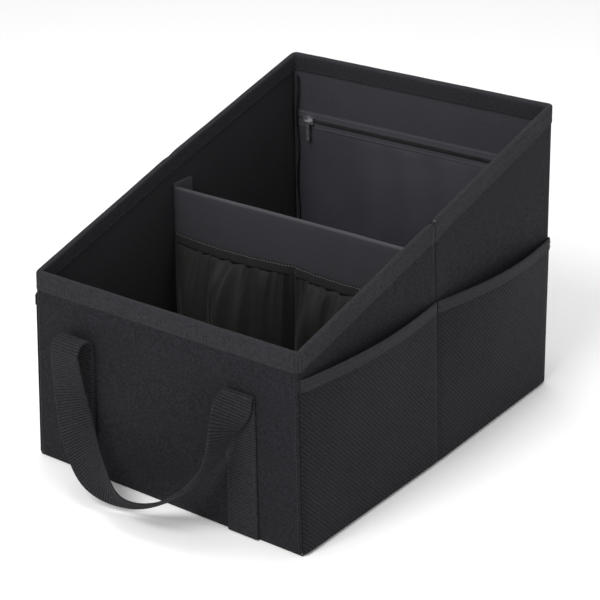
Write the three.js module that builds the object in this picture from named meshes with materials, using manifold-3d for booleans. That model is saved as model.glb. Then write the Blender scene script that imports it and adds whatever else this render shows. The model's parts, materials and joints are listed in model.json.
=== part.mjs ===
// A fold-flat car trunk organizer: a board-stiffened fabric box with a low front and a high back.
// Millimetres. X runs across the box, Y from its low front to its high back, Z up from the ground.

import * as THREE from 'three';
import { mergeVertices } from 'three/addons/utils/BufferGeometryUtils.js';
import Module from 'manifold-3d';

const wasm = await Module();
wasm.setup();

// The box
const WIDTH = 280;
const DEPTH = 360;
const FRONT_HEIGHT = 167;
const BACK_HEIGHT = 262;

// How the sewn box stands: the folds bow out, each side leans in and the front leans back
const FOLD_BOW = 2.5;
const FRONT_RIM_IN = 5.6;
const BACK_RIM_IN = 1.6;
const FRONT_LEAN = 7;

// The layers of a wall, from outside to inside, with the play between two layers
const OUTER_CLOTH = 0.9;
const BOARD = 2;
const LINING = 0.6;
const PLAY = 0.3;
const FOLD_GAP = 6;

// The tape that is folded over the rim
const TAPE = 0.6;
const RIM_TAPE_HEIGHT = 15;
const RIM_TAPE_JOINT = 0.8;

// The bound seam allowances that stand in the four inner corners
const SEAM_TAPE_WIDTH = 7;
const SEAM_TAPE_THICKNESS = 1.8;
const SEAM_TAPE_WAVE = 1.1;
const SEAM_TAPE_WAVE_LENGTH = 62;

// The slack pockets on both sides
const POCKET_CLOTH = 0.8;
const POCKET_BELOW_RIM = 20;
const POCKET_BACK_DROP = 6;
const POCKET_FRONT_SLACK = 8.5;
const POCKET_REAR_SLACK = 10;
const POCKET_TAPE_HEIGHT = 10;
const POCKET_FOOT = 0.5;

// The webbing handles
const WEBBING_WIDTH = 30;
const WEBBING = 1.6;
const HANDLE_SPACING = 166;
const HANDLE_BELOW_RIM = 36.5;
const HANDLE_HEM = 1;
const FOLD_RADIUS_SOFT = 10;
const FOLD_RADIUS_CRISP = 4;

// The hanging loop of a handle: the strap's middle line at its lowest, and how the strap rolls.
// Places along the loop run from -1 at the left fold to 1 at the right fold.
const LOOP_LOWEST = 19.4;
const LOOP_REACH = 41.5;
const LOOP_SHIFT = 43.5;
const LOOP_SAG_SKEW = 34;
const LOOP_REACH_SKEW = 14;
const LOOP_LEAN = 19;
const LOOP_ROLL = 100;
const ROLL_START = -0.64;
const ROLL_FULL = 0;
const ROLL_END = 0.45;

// The divider, which stands at the side folds
const DIVIDER_BELOW_RIM = 28;
const DIVIDER_BOARD = 2.5;
const DIVIDER_CLOTH = 0.7;
const STRIP_WIDTH = 22;
const STRIP = 1.2;
const STRIP_ABOVE_DIVIDER = 2;
const STRIP_FOOT = 6;

// The gathered net pouch on the divider
const NET = 0.6;
const POUCH_BELOW_DIVIDER = 41;
const POUCH_FOOT = 14;
const POUCH_BULGE = 19;
const POUCH_MOUTH_SLACK = 8;
const GATHERS = 8;
const GATHER_DEPTH = 2.4;
const ELASTIC = 1.4;
const ELASTIC_HEIGHT = 9;

// The zipped pocket on the inside of the back
const ZIP_BELOW_RIM = 62;
const ZIP_TAPE_REACH = 8;
const ZIP_SLIT = 2;
const ZIP_END_MARGIN = 18;
const SATIN = 0.7;
const CHAIN_WIDTH = 4.2;
const CHAIN_THICKNESS = 1.6;
const TOOTH_PITCH = 3;
const STOP_LENGTH = 2.5;

// The zip's slider and pull
const SLIDER_LENGTH = 9;
const SLIDER_PLATE = 1;
const SLIDER_FLANGE = 0.9;
const SLIDER_SHOULDER = 0.6;
const BRIDGE_SPAN = 5;
const BRIDGE_LEG = 1;
const BRIDGE_RADIUS = 0.6;
const PULL_CLEARANCE = 0.35;
const PULL_EYE_WALL = 0.8;
const PULL_WIDTH = 3.4;
const PULL_THICKNESS = 0.9;
const PULL_LENGTH = 19;
const PULL_EYE_SIDES = 20;

// Derived places
const halfWidth = WIDTH / 2;
const halfDepth = DEPTH / 2;
const boardOut = OUTER_CLOTH + PLAY;
const boardIn = boardOut + BOARD;
const liningOut = boardIn + PLAY;
const liningIn = liningOut + LINING;
const floorTop = liningIn;
const insideFace = liningIn + PLAY;
const wallTopDrop = TAPE + PLAY;
const rimHeight = (y) => FRONT_HEIGHT + ((y + halfDepth) / DEPTH) * (BACK_HEIGHT - FRONT_HEIGHT);
const dividerTop = rimHeight(0) - DIVIDER_BELOW_RIM;
const dividerHalf = DIVIDER_BOARD / 2 + PLAY + DIVIDER_CLOTH;
const zipHeight = BACK_HEIGHT - ZIP_BELOW_RIM;

const mix = THREE.MathUtils.lerp;
const radians = THREE.MathUtils.degToRad;

// Carries a point of the straight-sided box to where the sewn box stands.
function settle(x, y, z) {
  const acrossFold = 1 - Math.min(1, Math.abs(y) / halfDepth);
  const sideLean = mix(FRONT_RIM_IN / FRONT_HEIGHT, BACK_RIM_IN / BACK_HEIGHT, (y + halfDepth) / DEPTH);
  const widening = FOLD_BOW * acrossFold - sideLean * z;
  const frontness = Math.max(0, -y) / halfDepth;
  const leanBack = FRONT_LEAN * (z / FRONT_HEIGHT) * frontness;
  return new THREE.Vector3(x * (1 + widening / halfWidth), y + leanBack, z);
}

function signedVolume(geometry) {
  const position = geometry.getAttribute('position');
  const index = geometry.getIndex();
  const a = new THREE.Vector3();
  const b = new THREE.Vector3();
  const c = new THREE.Vector3();
  let volume = 0;
  for (let i = 0; i < index.count; i += 3) {
    a.fromBufferAttribute(position, index.getX(i));
    b.fromBufferAttribute(position, index.getX(i + 1));
    c.fromBufferAttribute(position, index.getX(i + 2));
    volume += a.dot(b.cross(c)) / 6;
  }
  return volume;
}

// Merges the shared vertices of a closed geometry and turns its faces outwards.
function closed(geometry) {
  geometry.deleteAttribute('normal');
  geometry.deleteAttribute('uv');
  const merged = mergeVertices(geometry, 1e-4);
  if (signedVolume(merged) < 0) {
    const index = merged.getIndex();
    for (let i = 0; i < index.count; i += 3) {
      const second = index.getX(i + 1);
      index.setX(i + 1, index.getX(i + 2));
      index.setX(i + 2, second);
    }
  }
  merged.computeVertexNormals();
  return merged;
}

// A thin body: a unit box, divided along u and v, whose points place(u, v, w) carries to their places.
function sheet(uSteps, vSteps, place) {
  const geometry = new THREE.BoxGeometry(1, 1, 1, uSteps, vSteps, 1);
  const position = geometry.getAttribute('position');
  for (let i = 0; i < position.count; i += 1) {
    const u = Math.round((position.getX(i) + 0.5) * uSteps) / uSteps;
    const v = Math.round((position.getY(i) + 0.5) * vSteps) / vSteps;
    const w = Math.round(position.getZ(i) + 0.5);
    const point = place(u, v, w);
    position.setXYZ(i, point.x, point.y, point.z);
  }
  return closed(geometry);
}

function toManifold(geometry) {
  const solid = closed(geometry);
  return new wasm.Manifold(new wasm.Mesh({
    numProp: 3,
    vertProperties: new Float32Array(solid.getAttribute('position').array),
    triVerts: new Uint32Array(solid.getIndex().array),
  }));
}

function fromManifold(manifold) {
  const mesh = manifold.getMesh();
  const geometry = new THREE.BufferGeometry();
  geometry.setAttribute('position', new THREE.BufferAttribute(new Float32Array(mesh.vertProperties), 3));
  geometry.setIndex(new THREE.BufferAttribute(new Uint32Array(mesh.triVerts), 1));
  geometry.computeVertexNormals();
  return geometry;
}

// Finishes
const finishes = {
  outerCloth: { color: 0x26262b, roughness: 0.85, metalness: 0 },
  lining: { color: 0x1f1f22, roughness: 0.8, metalness: 0 },
  board: { color: 0x8a8478, roughness: 0.9, metalness: 0 },
  tape: { color: 0x37373b, roughness: 0.8, metalness: 0 },
  pocketCloth: { color: 0x232327, roughness: 0.7, metalness: 0 },
  webbing: { color: 0x2b2b2e, roughness: 0.75, metalness: 0 },
  satin: { color: 0x303036, roughness: 0.45, metalness: 0 },
  net: { color: 0x1b1b1c, roughness: 0.6, metalness: 0 },
  elastic: { color: 0x2e2e30, roughness: 0.8, metalness: 0 },
  hookAndLoop: { color: 0x242426, roughness: 0.95, metalness: 0 },
  coil: { color: 0x141416, roughness: 0.4, metalness: 0 },
  metal: { color: 0xb9bcc0, roughness: 0.25, metalness: 1 },
};
const materials = {};
for (const [name, finish] of Object.entries(finishes)) {
  materials[name] = new THREE.MeshStandardMaterial(finish);
}

const organizer = new THREE.Group();

function add(name, geometry, finish, parent = organizer) {
  const mesh = new THREE.Mesh(geometry, materials[finish]);
  mesh.name = name;
  parent.add(mesh);
  return mesh;
}

// One layer of a side wall between two distances from its outside face; side is -1 left, 1 right.
const SIDE_ROWS = 4;
function sideLayer(side, out, inner, y0, y1, foot, steps) {
  return sheet(steps, SIDE_ROWS, (u, v, w) => {
    const y = mix(y0, y1, u);
    const z = mix(foot, rimHeight(y) - wallTopDrop, v);
    return settle(side * (halfWidth - mix(out, inner, w)), y, z);
  });
}

// One layer of the front wall, end -1, or of the back wall, end 1.
function endLayer(end, out, inner, reach, foot) {
  return sheet(1, 1, (u, v, w) => {
    const y = end * (halfDepth - mix(out, inner, w));
    const z = mix(foot, rimHeight(y) - wallTopDrop, v);
    return settle(mix(-reach, reach, u), y, z);
  });
}

// One layer of the base, which follows the bowed folds.
function baseLayer(inset, low, high) {
  return sheet(1, 2, (u, v, w) => {
    const x = mix(-1, 1, u) * (halfWidth - inset);
    const y = mix(-1, 1, v) * (halfDepth - inset);
    return settle(x, y, mix(low, high, w));
  });
}

function addWalls() {
  const sideReach = halfDepth - boardOut;
  add('base_outer_panel', baseLayer(boardOut, 0, OUTER_CLOTH), 'outerCloth');
  add('base_board', baseLayer(liningOut, boardOut, boardIn), 'board');
  add('base_lining', baseLayer(insideFace, liningOut, floorTop), 'lining');
  for (const [end, name] of [[-1, 'front'], [1, 'back']]) {
    add(`${name}_outer_panel`, endLayer(end, 0, OUTER_CLOTH, halfWidth, 0), 'outerCloth');
    add(`${name}_board`, endLayer(end, boardOut, boardIn, halfWidth - boardOut, boardOut), 'board');
    add(`${name}_lining`, endLayer(end, liningOut, liningIn, halfWidth - liningOut, liningOut), 'lining');
  }
  for (const [side, name] of [[-1, 'left'], [1, 'right']]) {
    add(`${name}_outer_panel`, sideLayer(side, 0, OUTER_CLOTH, -sideReach, sideReach, 0, 8), 'outerCloth');
    const boardReach = halfDepth - liningOut;
    add(`${name}_front_board`,
      sideLayer(side, boardOut, boardIn, -boardReach, -FOLD_GAP / 2, boardOut, 4), 'board');
    add(`${name}_rear_board`,
      sideLayer(side, boardOut, boardIn, FOLD_GAP / 2, boardReach, boardOut, 4), 'board');
    const liningReach = halfDepth - insideFace;
    add(`${name}_lining`,
      sideLayer(side, liningOut, liningIn, -liningReach, liningReach, liningOut, 8), 'lining');
  }
}

// A tape folded over an edge. Its section runs up the outside, over the top and down the inside.
// outside and inside are the faces of what it covers; the result is a distance from the box face
// and a height above the covered edge.
function foldedTape(u, w, outside, inside, height) {
  const clear = PLAY + TAPE * w;
  const corners = [
    [outside - clear, -height],
    [outside - clear, clear],
    [inside + clear, clear],
    [inside + clear, -height],
  ];
  return corners[Math.round(u * (corners.length - 1))];
}

// The rim tape runs once round the box and its ends meet at the right-hand fold.
function addRimTape() {
  const joint = RIM_TAPE_JOINT / 2;
  const quarter = halfDepth / 2;
  const stations = [
    { side: 1, y: joint },
    { side: 1, y: quarter },
    { side: 1, end: 1 },
    { side: -1, end: 1 },
    { side: -1, y: quarter },
    { side: -1, y: 0 },
    { side: -1, y: -quarter },
    { side: -1, end: -1 },
    { side: 1, end: -1 },
    { side: 1, y: -quarter },
    { side: 1, y: -joint },
  ];
  const drop = RIM_TAPE_HEIGHT - wallTopDrop;
  add('rim_tape', sheet(3, stations.length - 1, (u, v, w) => {
    const station = stations[Math.round(v * (stations.length - 1))];
    const [inset, rise] = foldedTape(u, w, 0, liningIn, drop);
    const x = station.side * (halfWidth - inset);
    const y = station.end === undefined ? station.y : station.end * (halfDepth - inset);
    return settle(x, y, rimHeight(y) - wallTopDrop + rise);
  }), 'tape');
}

// The bound seam allowance in an inner corner, a narrow folded tape whose free edge waves.
function addSeamTape(name, side, end) {
  const half = SEAM_TAPE_THICKNESS / 2;
  const root = half + PLAY * Math.SQRT2;
  const foot = floorTop + PLAY;
  const steps = 24;
  add(name, sheet(1, steps, (u, v, w) => {
    const away = root + u * SEAM_TAPE_WIDTH;
    const y0 = end * (halfDepth - liningIn - away / Math.SQRT2);
    const z = mix(foot, rimHeight(end * (halfDepth - insideFace)) - RIM_TAPE_HEIGHT - SEAM_TAPE_WIDTH / 2, v);
    const wave = SEAM_TAPE_WAVE * u * Math.sin((2 * Math.PI * z) / SEAM_TAPE_WAVE_LENGTH);
    const across = (mix(-half, half, w) + wave) / Math.SQRT2;
    const x = side * (halfWidth - liningIn - away / Math.SQRT2 + across);
    return settle(x, y0 - end * across, z);
  }), 'tape');
}

// Side pockets: a panel sewn down at the corners, the base and the fold, with two slack mouths.
const pocketSkin = PLAY + TAPE + PLAY;

function mouthHeight(y) {
  return FRONT_HEIGHT - POCKET_BELOW_RIM - (POCKET_BACK_DROP * Math.max(0, y)) / halfDepth;
}

function pocketSlack(y, z) {
  const slack = y < 0 ? POCKET_FRONT_SLACK : POCKET_REAR_SLACK;
  const along = Math.sin(Math.PI * Math.min(1, Math.abs(y) / halfDepth));
  return slack * along * (z / mouthHeight(y)) ** 1.4;
}

function addPocket(side, name) {
  const reach = halfDepth - POCKET_FOOT;
  add(`${name}_pocket_panel`, sheet(24, 6, (u, v, w) => {
    const y = mix(-reach, reach, u);
    const z = mix(POCKET_FOOT, mouthHeight(y) - wallTopDrop, v);
    const out = pocketSkin + pocketSlack(y, z) + POCKET_CLOTH * w;
    return settle(side * (halfWidth + out), y, z);
  }), 'pocketCloth');
  for (const [end, place] of [[-1, 'front'], [1, 'rear']]) {
    add(`${name}_${place}_pocket_tape`, sheet(3, 12, (u, v, w) => {
      const y = end * mix(PLAY * 3, reach, v);
      const edge = mouthHeight(y) - wallTopDrop;
      const [inset, rise] = foldedTape(u, w, -POCKET_CLOTH, 0, POCKET_TAPE_HEIGHT - wallTopDrop);
      const out = pocketSkin + pocketSlack(y, edge + Math.min(0, rise)) - inset;
      return settle(side * (halfWidth + out), y, edge + rise);
    }), 'tape');
  }
}

// Webbing handles. Each is one strap: sewn up the wall, folded over outwards, hung in a loop, and
// folded and sewn down again. The loop hangs lopsided, and its strap rolls from lying along the wall
// to standing out from it.
const seat = PLAY + WEBBING / 2;
const foldHeight = FRONT_HEIGHT - HANDLE_BELOW_RIM;

// The strap's middle line at a place along the loop: across the box, away from the wall, and up.
function loopCentre(place, radii) {
  const swing = (Math.PI / 2) * place;
  const slack = Math.cos(swing);
  const radius = mix(radii[0], radii[1], THREE.MathUtils.smoothstep(place, -1, 1));
  const sag = Math.cos(swing + radians(LOOP_SAG_SKEW) * slack);
  const push = Math.cos(swing + radians(LOOP_REACH_SKEW) * slack) ** 1.5;
  const sweep = Math.sin(swing);
  const x = (HANDLE_SPACING / 2) * Math.sign(sweep) * Math.abs(sweep) ** 0.9 + LOOP_SHIFT * slack ** 2;
  const out = mix(seat + 2 * radius, LOOP_REACH, push);
  return [x, out, mix(foldHeight - radius, LOOP_LOWEST, sag)];
}

function loopRoll(place) {
  const start = THREE.MathUtils.smoothstep(place, ROLL_START, ROLL_FULL);
  const end = 1 - THREE.MathUtils.smoothstep(place, ROLL_END, 1);
  return radians(LOOP_ROLL) * start * end;
}

// One leg of a strap, from its hem to where the loop starts, as places of its middle line.
function strapLeg(side, radius) {
  const leg = [];
  const sewn = 3;
  const turned = 8;
  for (let i = 0; i < sewn; i += 1) {
    leg.push([side * (HANDLE_SPACING / 2), seat, mix(HANDLE_HEM, foldHeight - radius, i / sewn)]);
  }
  for (let i = 0; i < turned; i += 1) {
    const turn = (Math.PI * i) / turned;
    const out = seat + radius * (1 - Math.cos(turn));
    leg.push([side * (HANDLE_SPACING / 2), out, foldHeight - radius * (1 - Math.sin(turn))]);
  }
  return leg;
}

function addHandle(name, end, radii) {
  const hung = 40;
  const route = strapLeg(-1, radii[0]).map((centre) => ({ centre, across: 1 }));
  for (let i = 0; i <= hung; i += 1) {
    const place = mix(-1, 1, i / hung);
    route.push({ centre: loopCentre(place, radii), place });
  }
  route.push(...strapLeg(1, radii[1]).reverse().map((centre) => ({ centre, across: -1 })));
  const points = route.map(({ centre }) => new THREE.Vector3(centre[0], -centre[1], centre[2]));
  const last = route.length - 1;
  const lean = new THREE.Vector3(0, -Math.cos(radians(LOOP_LEAN)), Math.sin(radians(LOOP_LEAN)));
  const stations = points.map((point, i) => {
    const along = new THREE.Vector3();
    along.subVectors(points[Math.min(last, i + 1)], points[Math.max(0, i - 1)]).normalize();
    const across = new THREE.Vector3(route[i].across ?? 0, 0, 0);
    if (route[i].place !== undefined && Math.abs(route[i].place) < 1) {
      const roll = loopRoll(route[i].place);
      const flat = new THREE.Vector3().crossVectors(lean, along).normalize();
      const face = new THREE.Vector3().crossVectors(along, flat);
      across.copy(flat).multiplyScalar(Math.cos(roll)).addScaledVector(face, Math.sin(roll));
    } else if (route[i].place !== undefined) {
      across.set(-route[i].place, 0, 0);
    }
    const face = new THREE.Vector3().crossVectors(along, across).normalize();
    return { point, across, face };
  });
  add(name, sheet(1, last, (u, v, w) => {
    const { point, across, face } = stations[Math.round(v * last)];
    const spot = point.clone()
      .addScaledVector(across, mix(-1, 1, u) * (WEBBING_WIDTH / 2))
      .addScaledVector(face, mix(-1, 1, w) * (WEBBING / 2));
    return settle(spot.x, -end * (spot.y - halfDepth), spot.z);
  }), 'webbing');
}

// The divider: a board in a folded cover, with a flange at each end that grips a strip on the wall.
const stripFace = insideFace + STRIP;
const flangeOut = stripFace + PLAY;
const dividerReach = halfWidth - (flangeOut + STRIP + PLAY);

function addDivider() {
  const foot = floorTop + PLAY;
  add('divider_board', sheet(1, 1, (u, v, w) => {
    const y = mix(-1, 1, w) * (DIVIDER_BOARD / 2);
    const z = mix(foot, dividerTop - DIVIDER_CLOTH - PLAY, v);
    return settle(mix(-1, 1, u) * dividerReach, y, z);
  }), 'board');
  add('divider_cover', sheet(3, 1, (u, v, w) => {
    const half = DIVIDER_BOARD / 2 + PLAY + DIVIDER_CLOTH * w;
    const top = dividerTop - DIVIDER_CLOTH * (1 - w);
    const [y, z] = [[-half, foot], [-half, top], [half, top], [half, foot]][Math.round(u * 3)];
    return settle(mix(-1, 1, v) * dividerReach, y, z);
  }), 'satin');
  for (const [side, name] of [[-1, 'left'], [1, 'right']]) {
    const strip = (out, y0, y1, low, high) => sheet(1, 1, (u, v, w) => (
      settle(side * (halfWidth - out - STRIP * w), mix(y0, y1, u), mix(low, high, v))
    ));
    const top = dividerTop + STRIP_ABOVE_DIVIDER;
    add(`${name}_wall_strip`, strip(insideFace, 0, STRIP_WIDTH, STRIP_FOOT, top), 'hookAndLoop');
    add(`${name}_divider_flange`, strip(flangeOut, -dividerHalf, STRIP_WIDTH, foot, top), 'satin');
  }
}

// The net pouch hangs on the divider's front, pinned at both ends and at a stitched centre line.
const pouchTop = dividerTop - POUCH_BELOW_DIVIDER;
const pouchRoot = dividerHalf + PLAY;

function pouchDepth(x, rise) {
  const along = Math.min(1, Math.abs(x) / dividerReach);
  const pinned = Math.sin(Math.PI * along) ** 0.7;
  const belly = Math.sin(Math.PI * rise ** 0.8);
  const gather = (1 - Math.cos(2 * Math.PI * GATHERS * along)) / 2;
  return pinned * (POUCH_BULGE * belly + POUCH_MOUTH_SLACK * rise)
    + GATHER_DEPTH * gather * Math.sin((Math.PI / 2) * rise);
}

function addPouch() {
  const netTop = pouchTop - ELASTIC_HEIGHT;
  const inElastic = (ELASTIC - NET) / 2;
  add('net_pouch', sheet(GATHERS * 8, 10, (u, v, w) => {
    const x = mix(-1, 1, u) * dividerReach;
    const depth = pouchDepth(x, v) + NET * w + inElastic;
    return settle(x, -pouchRoot - depth, mix(POUCH_FOOT, netTop - PLAY, v));
  }), 'net');
  add('pouch_elastic', sheet(GATHERS * 8, 1, (u, v, w) => {
    const x = mix(-1, 1, u) * dividerReach;
    const depth = pouchDepth(x, 1) * mix(1, 0.85, v) + ELASTIC * w;
    return settle(x, -pouchRoot - depth, mix(netTop, pouchTop, v));
  }), 'elastic');
}

// The zipped pocket: tapes and satin panel on the back lining, with a toothed chain over the slit.
const chainBase = insideFace + TAPE + PLAY;
const chainFace = chainBase + CHAIN_THICKNESS;
const chainReach = halfWidth - ZIP_END_MARGIN;

function backSheet(x0, x1, low, high, out, thickness) {
  return sheet(1, 1, (u, v, w) => (
    settle(mix(x0, x1, u), halfDepth - out - thickness * w, mix(low, high, v))
  ));
}

function addZip() {
  const reach = halfWidth - liningIn - SEAM_TAPE_THICKNESS - 4 * PLAY;
  const slit = ZIP_SLIT / 2;
  const panelTop = zipHeight - ZIP_TAPE_REACH - PLAY;
  add('zip_upper_tape',
    backSheet(-reach, reach, zipHeight + slit, zipHeight + ZIP_TAPE_REACH, insideFace, TAPE), 'tape');
  add('zip_lower_tape',
    backSheet(-reach, reach, zipHeight - ZIP_TAPE_REACH, zipHeight - slit, insideFace, TAPE), 'tape');
  add('zip_pocket_panel',
    backSheet(-reach, reach, floorTop + PLAY, panelTop, insideFace, SATIN), 'satin');

  const teeth = Math.floor((2 * chainReach) / TOOTH_PITCH);
  add('zip_chain', sheet(teeth * 2, 1, (u, v, w) => {
    const tooth = Math.round(u * teeth * 2) % 2 === 1;
    const half = CHAIN_WIDTH / 2 - (tooth ? 0 : CHAIN_WIDTH / 6);
    const thickness = CHAIN_THICKNESS * (tooth ? 1 : 0.6);
    return settle(mix(-1, 1, u) * chainReach, halfDepth - chainBase - thickness * w,
      zipHeight + mix(-1, 1, v) * half);
  }), 'coil');
  for (const [side, name] of [[-1, 'left'], [1, 'right']]) {
    const near = side * (chainReach + PLAY);
    const half = CHAIN_WIDTH / 2;
    add(`zip_${name}_stop`, backSheet(near, near + side * STOP_LENGTH, zipHeight - half,
      zipHeight + half, chainBase, CHAIN_THICKNESS), 'metal');
  }
}

// The slider rides over the chain. Its own frame: x along the zip, -y away from the wall, z up.
// Its plate bridges the chain, two flanges reach down beside it, and the bridge carries the pull.
const channelHalf = CHAIN_WIDTH / 2 + PLAY;
const sliderHalf = channelHalf + SLIDER_FLANGE;
const plateBack = chainFace + PLAY;
const plateFront = plateBack + SLIDER_PLATE;
const eyeInner = BRIDGE_RADIUS + PULL_CLEARANCE;
const eyeOuter = eyeInner + PULL_EYE_WALL;
const bridgeOut = plateFront + PLAY + eyeOuter;

// Extrudes an outline drawn in x and z between two distances from the wall.
function extrudeOut(shape, from, to) {
  const geometry = new THREE.ExtrudeGeometry(shape, { depth: to - from, bevelEnabled: false });
  geometry.rotateX(Math.PI / 2);
  geometry.translate(0, -from, 0);
  return geometry;
}

function addSlider() {
  const group = new THREE.Group();
  const restX = -chainReach + SLIDER_LENGTH / 2 + PLAY;
  const seat = settle(restX, halfDepth, zipHeight);
  group.position.copy(seat);
  organizer.add(group);

  const end = SLIDER_LENGTH / 2;
  const shoulder = sliderHalf + SLIDER_SHOULDER;
  const outline = new THREE.Shape();
  outline.moveTo(end, -sliderHalf);
  outline.lineTo(end, sliderHalf);
  outline.lineTo(0, sliderHalf);
  outline.quadraticCurveTo(-end * 0.6, shoulder, -end * 0.7, shoulder);
  outline.quadraticCurveTo(-end, shoulder, -end, channelHalf);
  outline.lineTo(-end, -channelHalf);
  outline.quadraticCurveTo(-end, -shoulder, -end * 0.7, -shoulder);
  outline.quadraticCurveTo(-end * 0.6, -shoulder, 0, -sliderHalf);
  const shell = toManifold(extrudeOut(outline, chainBase, plateFront));
  const channelDepth = plateBack - chainBase + 1;
  const channel = new THREE.BoxGeometry(SLIDER_LENGTH + 2, channelDepth, channelHalf * 2);
  channel.translate(0, -plateBack + channelDepth / 2, 0);
  let slider = shell.subtract(toManifold(channel));
  const legReach = bridgeOut + BRIDGE_RADIUS - plateBack;
  for (const side of [-1, 1]) {
    const leg = new THREE.BoxGeometry(BRIDGE_LEG, legReach, BRIDGE_RADIUS * 2);
    leg.translate((side * (BRIDGE_SPAN + BRIDGE_LEG)) / 2, -plateBack - legReach / 2, 0);
    slider = slider.add(toManifold(leg));
  }
  const bar = new THREE.CylinderGeometry(BRIDGE_RADIUS, BRIDGE_RADIUS, BRIDGE_SPAN + BRIDGE_LEG, 12);
  bar.rotateZ(Math.PI / 2);
  bar.translate(0, -bridgeOut, 0);
  slider = slider.add(toManifold(bar));
  add('zip_slider', fromManifold(slider), 'metal', group);

  const eyeShape = new THREE.Shape();
  eyeShape.absarc(0, 0, eyeOuter, 0, 2 * Math.PI);
  const eye = new THREE.ExtrudeGeometry(eyeShape, {
    depth: PULL_WIDTH, bevelEnabled: false, curveSegments: PULL_EYE_SIDES,
  });
  eye.rotateY(Math.PI / 2);
  eye.translate(-PULL_WIDTH / 2, -bridgeOut, 0);
  const bore = new THREE.CylinderGeometry(eyeInner, eyeInner, PULL_WIDTH + 2, PULL_EYE_SIDES);
  bore.rotateZ(Math.PI / 2);
  bore.translate(0, -bridgeOut, 0);

  const half = PULL_WIDTH / 2;
  const waist = half * 0.7;
  const tab = new THREE.Shape();
  tab.moveTo(-half, -eyeInner - PULL_EYE_WALL / 2);
  tab.bezierCurveTo(-half, -PULL_LENGTH * 0.3, -waist, -PULL_LENGTH * 0.3, -waist, -PULL_LENGTH * 0.5);
  tab.lineTo(-half, -PULL_LENGTH + half);
  tab.quadraticCurveTo(-half, -PULL_LENGTH, 0, -PULL_LENGTH);
  tab.quadraticCurveTo(half, -PULL_LENGTH, half, -PULL_LENGTH + half);
  tab.lineTo(waist, -PULL_LENGTH * 0.5);
  tab.bezierCurveTo(waist, -PULL_LENGTH * 0.3, half, -PULL_LENGTH * 0.3, half, -eyeInner - PULL_EYE_WALL / 2);
  const blade = extrudeOut(tab, bridgeOut - PULL_THICKNESS / 2, bridgeOut + PULL_THICKNESS / 2);
  const pull = toManifold(eye).add(toManifold(blade)).subtract(toManifold(bore));
  add('zip_pull', fromManifold(pull), 'metal', group);
}

addWalls();
addRimTape();
addSeamTape('front_left_seam_tape', -1, -1);
addSeamTape('front_right_seam_tape', 1, -1);
addSeamTape('back_left_seam_tape', -1, 1);
addSeamTape('back_right_seam_tape', 1, 1);
addPocket(-1, 'left');
addPocket(1, 'right');
addHandle('front_handle', -1, [FOLD_RADIUS_SOFT, FOLD_RADIUS_CRISP]);
addHandle('back_handle', 1, [FOLD_RADIUS_SOFT, FOLD_RADIUS_CRISP]);
addDivider();
addPouch();
addZip();
addSlider();

export default organizer;
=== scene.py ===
# %% [markdown]
# A fabric trunk organizer is boards wrapped in black cloth. All that makes it look real is in its
# surfaces: woven cloth, ribbed binding, thick webbing, a gathered net, thread and a small zip. This
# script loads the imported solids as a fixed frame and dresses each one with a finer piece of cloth.

# %% Load the frame
import json
import math

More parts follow.
